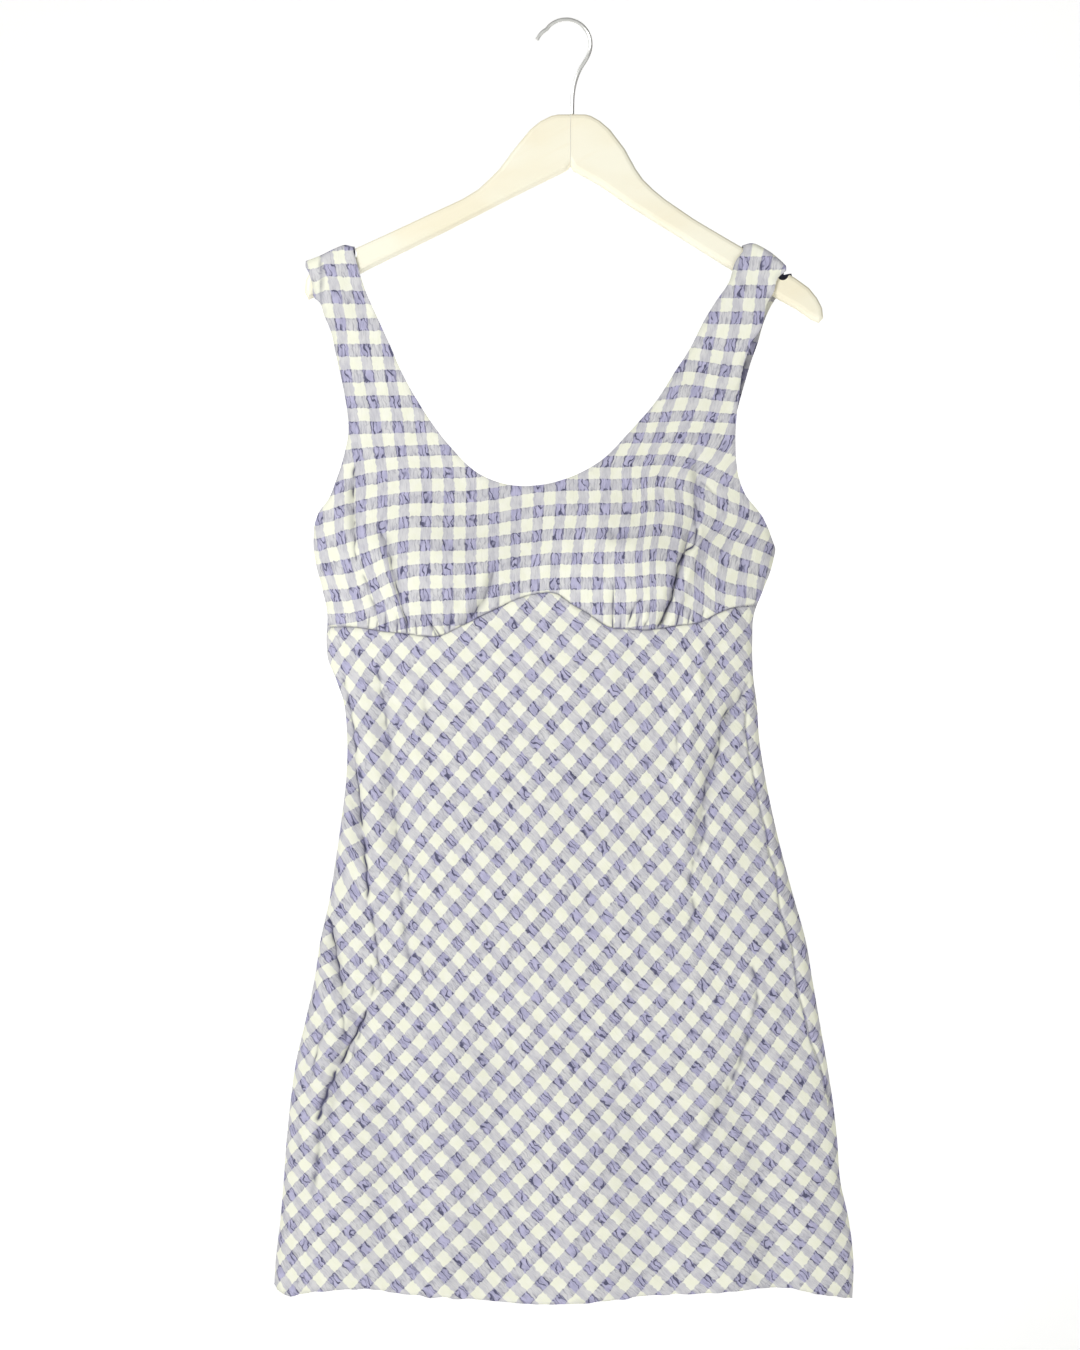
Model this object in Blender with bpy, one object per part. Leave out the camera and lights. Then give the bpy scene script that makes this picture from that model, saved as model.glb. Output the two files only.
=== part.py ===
"""A sleeveless summer dress in crinkled gingham, hung on a plain wooden hanger with a wire hook.

Metres, +Z up, the front faces -Y and +X is to the right of someone who looks at the front. The origin is the
inside top of the hook's bend, where a rail holds it. The tables below are in millimetres.

Each cloth panel is a wall of one thickness on a middle surface. The surface comes from the body sections: a
flattened tube whose width follows the outline and whose front and back are shallow domes. A panel's outline
and the points inside it are laid out flat, in columns round the body and heights, and are joined into
triangles there. Then they are carried to the surface, and the folds and gathers are pushed in or pulled out.
"""

import math
from collections import namedtuple

import bmesh
import bpy
import numpy as np
from mathutils.geometry import delaunay_2d_cdt

MM = 0.001

# Cloth
WALL = 1.6
SEAM_GAP = 0.3
EDGE_STEP = 13.0
SEAM_STEP = 7.0
SIDE_STEP = 20.0
COARSE_STEP, MIDDLE_STEP, FINE_STEP, GATHER_STEP = 21.0, 11.0, 6.0, 2.6
BACK_SCALE = 1.25
FLAT_WIDTH = 270.0
SIDE_MARGIN = 0.985
SIDE_RATE = math.sqrt(3)
SHARP_WIDTH = 7.0
BEND_REGION = -230.0
BEND_SHARES = (0.25, 0.5, 0.75)
BEND_ACROSS = 6.0
BEND_BELOW = 9.0
SAME_POINT = 1.2
# Folds fade out over this share of the column beside a side seam, and between these heights up the straps
SIDE_FADE = 0.12
STRAP_FADE = (-300.0, -262.0)
# Between these heights the straps leave the body's depth and hang straight from the arms
HANG_FADE = (-345.0, -262.0)
SOME_DETAIL, MUCH_DETAIL = 0.35, 0.7

# Hanger
ARM_THICK = 11.0
ARM_ROUND = 4.5
ARM_BOW = 6.0
ARM_REACH = 222.0
ARM_STATION = 35
NOTCH_WIDTH = 9.6
NOTCH_DEEP = 9.0
NOTCH_ABOVE = 12.0
WIRE_THICK = 3.4
WIRE_STEP = 4.2
HOOK_RADIUS = 21.5
HOOK_START, HOOK_END = 148.0, -12.0

# The strap's middle surface where it goes over an arm: half an ellipse with these half sizes
WRAP_Y, WRAP_Z = 7.2, 6.0
WRAP_ARC = math.pi / 2 * math.sqrt((WRAP_Y**2 + WRAP_Z**2) / 2)
ON_ARM = 0.3 + WALL / 2
LEAST_LIFT = 0.3

Section = namedtuple("Section", "z left right front back")
SECTIONS = (
    Section(-1115, -253, 247, 34, 29),
    Section(-1073, -251, 248.5, 34, 28),
    Section(-1038, -247, 244.5, 33, 27),
    Section(-1003, -244, 237, 33, 27),
    Section(-969, -241.5, 234.5, 32, 26),
    Section(-934, -238, 230.5, 32, 26),
    Section(-899, -233, 225, 31, 25),
    Section(-865, -225, 219, 30, 25),
    Section(-830, -217.5, 213, 30, 24),
    Section(-795, -212, 207, 29, 23),
    Section(-761, -204.5, 197.5, 28, 22),
    Section(-726, -199, 188, 27, 20),
    Section(-691, -194, 179.5, 25, 18),
    Section(-657, -190, 172.5, 23, 17),
    Section(-622, -189, 167, 22, 16),
    Section(-588, -192.5, 164.5, 21, 15),
    Section(-570, -198.5, 162, 22, 15),
    Section(-553, -205.5, 161, 22, 15),
    Section(-535, -207, 161, 23, 16),
    Section(-515, -206, 162, 24, 16),
    Section(-492, -210.5, 170.5, 25, 17),
    Section(-475, -215, 177, 26, 17),
    Section(-457, -218, 181, 26, 17),
    Section(-438, -218, 182, 25, 16),
    Section(-400, -222, 186, 22, 15),
    Section(-340, -232, 196, 16, 12),
    Section(-280, -238, 202, 12, 10),
    Section(-180, -240, 204, 10, 9),
)

Spot = namedtuple("Spot", "x z")
NECK_FRONT = (
    Spot(-182.7, -198), Spot(-178.4, -217), Spot(-172.4, -236), Spot(-164.5, -254), Spot(-152.7, -280),
    Spot(-140, -308.6), Spot(-125, -335), Spot(-99.3, -370.7), Spot(-73.6, -394.8), Spot(-48, -404),
    Spot(-22.5, -404), Spot(3, -397.3), Spot(28.6, -383.6), Spot(54.3, -357.7), Spot(80, -327),
    Spot(93, -306), Spot(106, -286), Spot(119.4, -259.7), Spot(128, -245.7), Spot(139.4, -229),
    Spot(146.3, -209.3), Spot(152.3, -198),
)
NECK_BACK = (
    Spot(-182.7, -198), Spot(-181, -217), Spot(-177, -237), Spot(-170, -256), Spot(-158, -284),
    Spot(-145, -313), Spot(-128, -345), Spot(-106, -376), Spot(-80, -402), Spot(-52, -417),
    Spot(-24, -421), Spot(4, -415), Spot(32, -400), Spot(60, -374), Spot(85, -343),
    Spot(100, -318), Spot(114, -291), Spot(127, -264), Spot(136, -246), Spot(145, -227),
    Spot(150, -209), Spot(152.3, -198),
)
# The strap's outer edge and the armhole, from the shoulder down to the side seam
ARMHOLE_FRONT_LEFT = (
    Spot(-224, -210), Spot(-222, -219), Spot(-218, -231), Spot(-217, -241), Spot(-211, -247),
    Spot(-208.6, -255), Spot(-202.5, -270), Spot(-197.7, -292), Spot(-191, -322.7), Spot(-188, -341),
    Spot(-187, -355.5), Spot(-189.3, -370), Spot(-197.3, -398), Spot(-204.4, -415), Spot(-212.5, -426),
    Spot(-217.8, -438.6),
)
ARMHOLE_FRONT_RIGHT = (
    Spot(189, -210), Spot(182.5, -224), Spot(178.2, -237), Spot(173, -246), Spot(167.7, -267),
    Spot(160, -280), Spot(153.5, -297), Spot(149.4, -319), Spot(146.7, -342.6), Spot(145.3, -364),
    Spot(146, -383), Spot(148.4, -398.4), Spot(153.8, -411), Spot(163.5, -423), Spot(170, -432),
    Spot(177, -447), Spot(181, -457),
)
ARMHOLE_BACK_LEFT = (
    Spot(-224, -210), Spot(-217, -222), Spot(-211, -235), Spot(-206, -250), Spot(-200, -270),
    Spot(-194, -292), Spot(-189, -318), Spot(-185, -345), Spot(-184, -362), Spot(-187, -380),
    Spot(-193, -400), Spot(-203, -420), Spot(-213, -433), Spot(-217.8, -438.6),
)
ARMHOLE_BACK_RIGHT = (
    Spot(189, -210), Spot(186, -225), Spot(179, -240), Spot(172, -259), Spot(166.8, -276.7),
    Spot(160.4, -295), Spot(154.4, -316), Spot(150, -332), Spot(146, -352), Spot(143.5, -372),
    Spot(144, -392), Spot(149, -408), Spot(158, -424), Spot(170, -441), Spot(178, -452), Spot(181, -457),
)
# The seam under the bust, which rises to an arch at the middle of the front
SEAM_FRONT = (
    Spot(-210, -524.4), Spot(-181, -525), Spot(-154, -529), Spot(-133.5, -531), Spot(-120, -533),
    Spot(-110, -532.7), Spot(-88, -523.3), Spot(-64, -511.5), Spot(-39.5, -500.4), Spot(-26.8, -497),
    Spot(-8, -497), Spot(4.7, -505.5), Spot(17.5, -513), Spot(36.3, -525), Spot(53.4, -526.7),
    Spot(69.7, -527.5), Spot(92.8, -524), Spot(118, -519.7), Spot(127.5, -514.5), Spot(141, -509),
    Spot(165, -505.3),
)
SEAM_BACK = (Spot(-210, -524.4), Spot(-100, -522), Spot(0, -517), Spot(100, -511), Spot(165, -505.3))
HEM_FRONT = (
    Spot(-256, -1093), Spot(-243, -1098.5), Spot(-217, -1094), Spot(-191, -1090), Spot(-152, -1091),
    Spot(-100, -1094.5), Spot(-60, -1097), Spot(-9, -1098.5), Spot(42, -1095), Spot(81, -1092),
    Spot(120, -1090.5), Spot(172, -1089), Spot(198, -1091.5), Spot(211, -1095), Spot(237, -1101),
    Spot(250, -1105.5),
)
HEM_BACK = (Spot(-256, -1093), Spot(-200, -1096), Spot(0, -1099), Spot(200, -1098), Spot(250, -1105.5))

# How far the strap arches above the arm across its width
Lift = namedtuple("Lift", "x rise")
STRAP_LIFT = (
    Lift(-232, 7), Lift(-224, 7), Lift(-211, 6), Lift(-198, 6.5), Lift(-190.5, 5.5), Lift(-183, 0.2),
    Lift(0, 0.2), Lift(152.5, 0.2), Lift(158, 5.5), Lift(174, 8.5), Lift(183, 7), Lift(192, 3),
)

# A fold runs as a curve through three spots. Its trough is pushed in by deep and its lip, on the right of the
# way it runs, is pulled out. It fades out at its start and its end where those are 1.
Fold = namedtuple("Fold", "x0 z0 x1 z1 x2 z2 width deep lip start end")
SKIRT_FRONT_FOLDS = (
    Fold(-194, -575, -184.5, -656, -166, -750, 6.0, 3.4, 1.6, 1, 1),
    Fold(-207, -772, -198, -810, -186, -860, 5.0, 2.8, 1.4, 1, 1),
    Fold(-166, -846, -193, -894, -217, -1017, 6.5, 4.0, 2.2, 1, 1),
    Fold(-167, -545, -152, -650, -140, -783, 8.0, 2.6, 1.2, 1, 1),
    Fold(118, -532, 108, -615, 94, -690, 9.0, -3.2, 0.0, 1, 1),
    Fold(155, -575, 132, -630, 100, -762, 6.0, 3.6, 1.8, 1, 1),
    Fold(167, -848, 147, -912, 112, -958, 12.0, 3.2, 1.4, 1, 1),
    Fold(-150, -880, -158, -1000, -166, -1110, 20.0, 4.0, 1.6, 1, 0),
    Fold(-60, -820, -66, -980, -74, -1110, 26.0, 3.2, 1.2, 1, 0),
    Fold(48, -860, 60, -1000, 70, -1110, 24.0, 3.6, 1.4, 1, 0),
    Fold(150, -900, 166, -1010, 180, -1110, 18.0, 4.2, 1.8, 1, 0),
)
SKIRT_BACK_FOLDS = (
    Fold(-170, -560, -162, -660, -150, -770, 7.0, 3.0, 1.4, 1, 1),
    Fold(140, -565, 128, -650, 108, -770, 8.0, 3.2, 1.6, 1, 1),
    Fold(-186, -830, -196, -900, -212, -1010, 7.0, 3.6, 1.8, 1, 1),
    Fold(-128, -850, -138, -980, -146, -1110, 21.0, 4.2, 1.6, 1, 0),
    Fold(-30, -800, -34, -960, -40, -1110, 25.0, 3.4, 1.4, 1, 0),
    Fold(70, -830, 82, -980, 92, -1110, 24.0, 4.0, 1.6, 1, 0),
    Fold(168, -900, 180, -1000, 192, -1110, 16.0, 3.6, 1.4, 1, 0),
)
BODICE_FRONT_FOLDS = (
    Fold(-181, -392, -183, -420, -179, -464, 4.0, 2.6, 1.0, 1, 1),
    Fold(-159, -440, -148, -466, -138, -508, 4.0, 2.2, 1.0, 1, 1),
    Fold(109, -372, 112, -410, 109, -446, 4.5, 1.8, 0.8, 1, 1),
    Fold(111, -430, 94, -480, 82, -524, 4.0, 4.4, -2.6, 1, 0),
    Fold(-59, -470, -68, -498, -86, -521, 4.0, 2.4, 1.2, 1, 0),
    Fold(26, -436, 44, -448, 58, -440, 5.0, 1.4, 0.6, 1, 1),
)
BODICE_BACK_FOLDS = (
    Fold(-172, -400, -168, -430, -160, -470, 5.0, 2.2, 1.0, 1, 1),
    Fold(122, -392, 116, -430, 108, -474, 5.0, 2.4, 1.0, 1, 1),
    Fold(-20, -440, -14, -470, -18, -505, 9.0, 2.0, 0.0, 1, 1),
)

# A gather starts at the seam under the bust and dies out above it
Gather = namedtuple("Gather", "x lean height deep")
GATHERS = (
    Gather(-170, 2, 15, 1.2), Gather(-155, 1, 24, 2.2), Gather(-145, 1, 17, 1.7), Gather(-136.5, 0, 20, 1.9),
    Gather(-128, -1, 16, 1.7), Gather(-111, -12, 26, 2.8), Gather(-100, 3, 22, 1.8),
    Gather(39.5, 0, 46, 2.4), Gather(50, 0, 30, 1.9), Gather(60, 2, 36, 2.2), Gather(70, 3, 24, 1.8),
    Gather(94, 4, 22, 1.7), Gather(104, 3, 17, 1.4), Gather(116, 2, 13, 1.1),
)
GATHER_WIDTH = 2.6
GATHER_START = 6.0

# The fullness of each cup, which drops back to the seam just above it
Cup = namedtuple("Cup", "x z wide high full")
CUPS = (Cup(-112, -478, 62, 46, 13), Cup(66, -474, 58, 46, 13))
CUP_START = 16.0

# The hanger's arms, from the joint at the middle out to the tips
JOINT_X = 3.9
ARM_TOP_LEFT = (
    Spot(3.9, -81), Spot(-7, -81), Spot(-13, -82.3), Spot(-22.5, -87), Spot(-31, -94), Spot(-45, -111),
    Spot(-58, -128.6), Spot(-66.7, -137.3), Spot(-76, -146), Spot(-90, -154.6), Spot(-108, -163),
    Spot(-146, -181), Spot(-214, -212.8),
)
ARM_LOW_LEFT = (
    Spot(3.9, -126), Spot(0.9, -129.5), Spot(-22.5, -141), Spot(-48.5, -154), Spot(-100, -180.6),
    Spot(-165, -213), Spot(-222, -242.5),
)
ARM_TIP_LEFT = (Spot(-220, -217), Spot(-224.5, -226), Spot(-225.5, -236))
ARM_TOP_RIGHT = (
    Spot(3.9, -81), Spot(16.5, -81), Spot(21.6, -82.3), Spot(29.4, -86.6), Spot(38, -94), Spot(51, -111),
    Spot(60.6, -128.6), Spot(66.7, -137.3), Spot(75.3, -146), Spot(85.7, -154.6), Spot(110.8, -172),
    Spot(139.4, -189.2), Spot(198.3, -224),
)
ARM_LOW_RIGHT = (
    Spot(3.9, -126), Spot(6, -129.5), Spot(29.4, -142.5), Spot(55.4, -160.6), Spot(107.4, -193.6),
    Spot(185.3, -243), Spot(198, -250), Spot(211, -259.4),
)
ARM_TIP_RIGHT = (Spot(209.6, -232.5), Spot(216.5, -241.2), Spot(220.8, -249.8), Spot(221.7, -258.5),
                 Spot(218, -262.5))
NOTCH_LEFT = Spot(-186.5, -200)
NOTCH_RIGHT = Spot(188.5, -218)

# The hook's wire: its tip, the centre of its round bend, and the neck of the S down into the hanger
HOOK_TIP = (Spot(-25.2, -16), Spot(-20.6, -9.4))
HOOK_CENTRE = Spot(0, WIRE_THICK / 2 - HOOK_RADIUS)
HOOK_SHANK = (Spot(18.2, -31.6), Spot(12.6, -40.6), Spot(8.6, -50.5), Spot(6.3, -61), Spot(5.6, -71),
              Spot(5.4, -80.7))


def smooth(at, stations, values):
    """The smooth curve through values at rising stations, read at each of at."""
    at, stations, values = (np.asarray(part, float) for part in (at, stations, values))
    slopes = np.gradient(values, stations)
    k = np.clip(np.searchsorted(stations, at) - 1, 0, len(stations) - 2)
    step = stations[k + 1] - stations[k]
    t = np.clip((at - stations[k]) / step, 0, 1)
    rest = 1 - t
    return (
        (1 + 2 * t) * rest**2 * values[k]
        + t * rest**2 * step * slopes[k]
        + t**2 * (3 - 2 * t) * values[k + 1]
        - t**2 * rest * step * slopes[k + 1]
    )


def read(table, column, at):
    """A column of a table, smooth along the table's first column."""
    return smooth(at, [row[0] for row in table], [getattr(row, column) for row in table])


def ease(low, high, value):
    """0 below low, 1 above high and a soft step between."""
    t = np.clip((value - low) / (high - low), 0, 1)
    return t * t * (3 - 2 * t)


def run_through(spots, step):
    """Evenly spaced points on the smooth curve through spots, both ends included."""
    spots = np.array(spots, float)
    along = np.concatenate([[0], np.cumsum(np.hypot(*np.diff(spots, axis=0).T))])
    count = max(2, int(round(along[-1] / step)) + 1)
    at = np.linspace(0, along[-1], count)
    return np.column_stack([smooth(at, along, spots[:, 0]), smooth(at, along, spots[:, 1])])


def middle_and_half(z):
    left, right = read(SECTIONS, "left", z), read(SECTIONS, "right", z)
    return (left + right) / 2, (right - left) / 2


def column_of(x, z):
    """The column round the body, -1 at the left side to 1 at the right, of a place seen from the front."""
    middle, half = middle_and_half(z)
    return 2 * np.sin(np.arcsin(np.clip((x - middle) / half, -1, 1)) / 3)


def place_of(column, z):
    """The x of a column, seen from the front."""
    middle, half = middle_and_half(z)
    return middle + half * np.sin(3 * np.arcsin(column / 2))


def body(column, z, side):
    """The middle surface and its outward direction in plan. side is -1 on the front and 1 on the back."""
    middle, half = middle_and_half(z)
    angle = 3 * np.arcsin(column / 2)
    depth = read(SECTIONS, "front" if side < 0 else "back", z)
    place = np.column_stack([middle + half * np.sin(angle), side * depth * np.cos(angle), z])
    out = np.column_stack([np.sin(angle) / half, side * np.cos(angle) / depth, np.zeros_like(z)])
    return place, out / np.linalg.norm(out, axis=1)[:, None]


def arm_top(x):
    """The height of the arms' top edge."""
    spots = sorted(ARM_TOP_LEFT[1:] + ARM_TOP_RIGHT)
    ends = [Spot(-240, -225), *spots, Spot(215, -233.8)]
    return np.interp(x, [s.x for s in ends], [s.z for s in ends])


def strap_top(x):
    """The height of the strap's middle surface where it goes over the arm."""
    return arm_top(x) + ON_ARM + np.maximum(read(STRAP_LIFT, "rise", x), LEAST_LIFT)


def bow(x):
    """How far the arms curve to the front."""
    return -ARM_BOW * (x / ARM_REACH) ** 2


def strap_surface(column, height, side):
    """The bodice's middle surface. Above the bend, height goes on along the cloth, over the arm."""
    x = place_of(column, height)
    top = strap_top(x)
    turn = np.clip((height - bend_start(x)) / WRAP_ARC, 0, 1) * math.pi / 2
    place, out = body(column, height, side)
    hung = ease(*HANG_FADE, height)
    y = place[:, 1] * (1 - hung) + (side * WRAP_Y * np.cos(turn) + bow(x)) * hung
    z = np.where(turn > 0, top - WRAP_Z + WRAP_Z * np.sin(turn), height)
    return np.column_stack([x, y, z]), out


def near_path(path, x, z):
    """The distance of each place from a path, positive on the path's right, and how far along it is."""
    best = np.full(x.shape, 1e9)
    signed, along = np.zeros_like(x), np.zeros_like(x)
    count = len(path) - 1
    for k in range(count):
        start, way = path[k], path[k + 1] - path[k]
        t = np.clip(((x - start[0]) * way[0] + (z - start[1]) * way[1]) / (way @ way), 0, 1)
        dx, dz = x - start[0] - t * way[0], z - start[1] - t * way[1]
        distance = np.hypot(dx, dz)
        closer = distance < best
        side = np.where(way[0] * dz - way[1] * dx > 0, -1.0, 1.0)
        best = np.where(closer, distance, best)
        signed = np.where(closer, side * distance, signed)
        along = np.where(closer, (k + t) / count, along)
    return signed, along


def fold_path(fold):
    """Points on the curve through the fold's three spots."""
    t = np.linspace(0, 1, 9)[:, None]
    start, middle, end = (np.array(spot) for spot in (fold[0:2], fold[2:4], fold[4:6]))
    pull = 2 * middle - (start + end) / 2
    return (1 - t) ** 2 * start + 2 * t * (1 - t) * pull + t**2 * end


def fold_shape(folds, x, z):
    """(how far folds move the cloth outwards, how much fine detail they need) at each place."""
    moved, detail = np.zeros_like(x), np.zeros_like(x)
    for fold in folds:
        across, along = near_path(fold_path(fold), x, z)
        fade = np.ones_like(x)
        if fold.start:
            fade = fade * ease(0, 0.3, along)
        if fold.end:
            fade = fade * ease(0, 0.3, 1 - along)
        trough = np.exp(-((across / fold.width) ** 2))
        lip = np.exp(-(((abs(across) - 2.0 * fold.width) / (1.2 * fold.width)) ** 2))
        lip = lip * (across * fold.lip > 0)
        moved += fade * (abs(fold.lip) * lip - fold.deep * trough)
        sharp = min(1, SHARP_WIDTH / fold.width)
        detail = np.maximum(detail, fade * sharp * np.exp(-((across / (2.2 * fold.width)) ** 2)))
    return moved, detail


def above_seam(x, z):
    return z - read(SEAM_FRONT, "z", x)


def bust_shape(x, z):
    """The cups' fullness and the gathers below them, outwards, and the gathers' detail."""
    height = above_seam(x, z)
    full = np.zeros_like(x)
    for cup in CUPS:
        full += cup.full * np.exp(-(((x - cup.x) / cup.wide) ** 2) - ((z - cup.z) / cup.high) ** 2)
    full *= 1 - np.exp(-((np.maximum(height, 0) / CUP_START) ** 1.5))
    gathered, detail = np.zeros_like(x), np.zeros_like(x)
    for g in GATHERS:
        rise = np.clip(height / g.height, 0, 1)
        across = (x - g.x - g.lean * rise) / GATHER_WIDTH
        fade = (1 - ease(0.35, 1, rise)) * ease(0.5, GATHER_START, height)
        gathered -= g.deep * fade * np.exp(-(across**2))
        near = (1 - ease(0.5, 1.1, height / g.height)) * ease(-3, 1, height)
        detail = np.maximum(detail, near * np.exp(-((across / 2.6) ** 2)))
    return full + gathered, detail


def bodice_front_moves(x, z):
    folds, fold_detail = fold_shape(BODICE_FRONT_FOLDS, x, z)
    bust, gather_detail = bust_shape(x, z)
    return folds * ease(0.5, GATHER_START, above_seam(x, z)) + bust, fold_detail, gather_detail


def bodice_back_moves(x, z):
    folds, fold_detail = fold_shape(BODICE_BACK_FOLDS, x, z)
    return folds * ease(0.5, GATHER_START, z - read(SEAM_BACK, "z", x)), fold_detail, 0 * x


def skirt_front_moves(x, z):
    folds, fold_detail = fold_shape(SKIRT_FRONT_FOLDS, x, z)
    return folds * ease(0.5, GATHER_START, -above_seam(x, z)), fold_detail, 0 * x


def skirt_back_moves(x, z):
    folds, fold_detail = fold_shape(SKIRT_BACK_FOLDS, x, z)
    return folds * ease(0.5, GATHER_START, read(SEAM_BACK, "z", x) - z), fold_detail, 0 * x


def side_line(low, high, end, side, step):
    """A side seam's edge, (column, z) from low to high. end is -1 for the left side and 1 for the right."""
    z = np.linspace(low, high, max(2, int(round((high - low) / step)) + 1))
    depth = read(SECTIONS, "front" if side < 0 else "back", z)
    return np.column_stack([end * (1 - SEAM_GAP / 2 / (SIDE_RATE * depth)), z])


def cross_line(table, offset, step):
    """A seam or hem right across a panel, left side to right, at the table's height plus offset."""
    x = np.arange(table[0].x, table[-1].x, step)
    z = read(table, "z", x)
    middle, half = middle_and_half(z)
    x = x[np.abs(x - middle) < SIDE_MARGIN * half - step / 3]
    ends = [sign * np.interp(share, [0, 1], [SIDE_MARGIN, 1]) for sign in (-1, 1) for share in (0, 1)]
    columns = np.concatenate([column_of(x, read(table, "z", x)), 2 * np.sin(np.arcsin(ends) / 3)])
    columns.sort()
    z = np.interp(columns, [-1, 1], [table[0].z, table[-1].z])
    for _ in range(6):
        z = read(table, "z", place_of(columns, z))
    return np.column_stack([columns, z + offset])


def edge_line(spots, step):
    """A free edge given by the places seen from the front, as (column, height)."""
    places = run_through(spots, step)
    return np.column_stack([column_of(places[:, 0], places[:, 1]), places[:, 1]])


def bend_start(x):
    """The height where a strap begins to bend over the arm."""
    return strap_top(x) - WRAP_Z


def strap_edge(spots, step):
    """A strap's edge, as (column, height), with the bend over the arm at each end that reaches one."""
    ends = [k for k in (0, -1) if spots[k].z > BEND_REGION]
    spots = list(spots)
    for k in ends:
        spots[k] = Spot(spots[k].x, float(bend_start(spots[k].x)))
    pieces = [edge_line(spots, step)]
    for k in ends:
        x = np.full(len(BEND_SHARES), spots[k].x)
        height = bend_start(x) + WRAP_ARC * np.array(BEND_SHARES)
        over = np.column_stack([column_of(x, height), height])
        pieces = [over[::-1], *pieces] if k == 0 else [*pieces, over]
    return np.vstack(pieces)


def bend_points(outline):
    """Rows of points over the arms, and one just below the bend."""
    x = np.arange(ARMHOLE_FRONT_LEFT[0].x, ARMHOLE_FRONT_RIGHT[0].x, BEND_ACROSS)
    heights = [bend_start(x) + WRAP_ARC * share for share in (*BEND_SHARES, 0.0)]
    heights += [bend_start(x) - BEND_BELOW]
    points = np.vstack([np.column_stack([column_of(x, h), h]) for h in heights])
    points = points[inside(points, outline)]
    return points[clearance(points, outline) > 0.3 * BEND_ACROSS]


def shoulder_line(start, end):
    """The shoulder seam on top of an arm, as (column, height)."""
    x = np.linspace(start, end, 9)
    height = bend_start(x) + WRAP_ARC - SEAM_GAP / 2
    return np.column_stack([column_of(x, height), height])


def join_lines(*lines):
    """One closed outline from (name, points) lines that run on from each other, and each point's names."""
    points, names = [], []
    for name, line in lines:
        for point in line:
            if points:
                away = np.hypot((point[0] - points[-1][0]) * FLAT_WIDTH, point[1] - points[-1][1])
                if away < SAME_POINT:
                    names[-1] = names[-1] | {name}
                    continue
            points.append(point)
            names.append({name})
    if np.hypot((points[0][0] - points[-1][0]) * FLAT_WIDTH, points[0][1] - points[-1][1]) < SAME_POINT:
        names[0] = names[0] | names[-1]
        points.pop()
        names.pop()
    return np.array(points), names


def lattice(outline, step):
    """Staggered points over the outline's box, as (column, height), evenly spaced as seen from the front."""
    x_of_outline = place_of(outline[:, 0], outline[:, 1])
    rows = np.arange(outline[:, 1].min() + step / 2, outline[:, 1].max(), step * 0.87)
    wide = np.arange(x_of_outline.min(), x_of_outline.max(), step)
    x = np.concatenate([wide + (k % 2) * step / 2 for k in range(len(rows))])
    z = np.repeat(rows, len(wide))
    middle, half = middle_and_half(z)
    clear_of_sides = np.abs(x - middle) < SIDE_MARGIN * half
    x, z = x[clear_of_sides], z[clear_of_sides]
    return np.column_stack([column_of(x, z), z])


def inside(points, outline):
    """Whether each point is in the closed outline."""
    found = np.zeros(len(points), bool)
    previous = outline[-1]
    for corner in outline:
        crosses = (corner[1] > points[:, 1]) != (previous[1] > points[:, 1])
        rise = previous[1] - corner[1]
        at = corner[0] + (points[:, 1] - corner[1]) * (previous[0] - corner[0]) / (rise if rise else 1)
        found ^= crosses & (points[:, 0] < at)
        previous = corner
    return found


def seen(points):
    """Points given as (column, height), as places seen from the front."""
    return np.column_stack([place_of(points[:, 0], points[:, 1]), points[:, 1]])


def clearance(points, outline):
    """The distance of each point from the outline, seen from the front."""
    ring = seen(np.vstack([outline, outline[:1]]))
    return np.abs(near_path(ring, *seen(points).T)[0])


def inner_points(outline, moves, scale):
    """Points inside a panel, close together where folds and gathers need it."""
    kept = []
    for level, step in enumerate((COARSE_STEP, MIDDLE_STEP, FINE_STEP, GATHER_STEP)):
        step *= scale
        points = lattice(outline, step)
        points = points[inside(points, outline)]
        _, folds, gathers = moves(place_of(points[:, 0], points[:, 1]), points[:, 1])
        wanted = np.where(folds > MUCH_DETAIL, 2, np.where(folds > SOME_DETAIL, 1, 0))
        wanted = np.where(gathers > SOME_DETAIL, 3, wanted)
        below_bend = points[:, 1] < bend_start(place_of(points[:, 0], points[:, 1])) - 1.6 * BEND_BELOW
        points = points[(wanted == level) & below_bend]
        kept.append(points[clearance(points, outline) > 0.5 * step])
    if outline[:, 1].max() > BEND_REGION:
        kept.append(bend_points(outline))
    return np.vstack(kept)


def triangles(outline, points):
    """The panel's triangles over its outline and inner points, as (places, faces, outline numbers)."""
    flat = [(c * FLAT_WIDTH, z) for c, z in np.vstack([outline, points])]
    ring = list(range(len(outline)))
    places, _, faces, sources, _, _ = delaunay_2d_cdt(flat, [], [ring], 1, 1e-6)
    numbers = [min(source) if source and min(source) < len(outline) else -1 for source in sources]
    return np.array([(p[0] / FLAT_WIDTH, p[1]) for p in places]), [list(f) for f in faces], numbers


def face_normals(points, faces):
    """The mean direction of the faces round each point."""
    faces = np.array(faces)
    a, b, c = points[faces[:, 0]], points[faces[:, 1]], points[faces[:, 2]]
    across = np.cross(b - a, c - a)
    normals = np.zeros_like(points)
    for corner in range(3):
        np.add.at(normals, faces[:, corner], across)
    return normals / np.linalg.norm(normals, axis=1)[:, None]


def rim_edges(faces):
    """The directed edges that only one face has."""
    edges = {(face[k], face[(k + 1) % 3]) for face in faces for k in range(3)}
    return [edge for edge in edges if (edge[1], edge[0]) not in edges]


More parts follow.
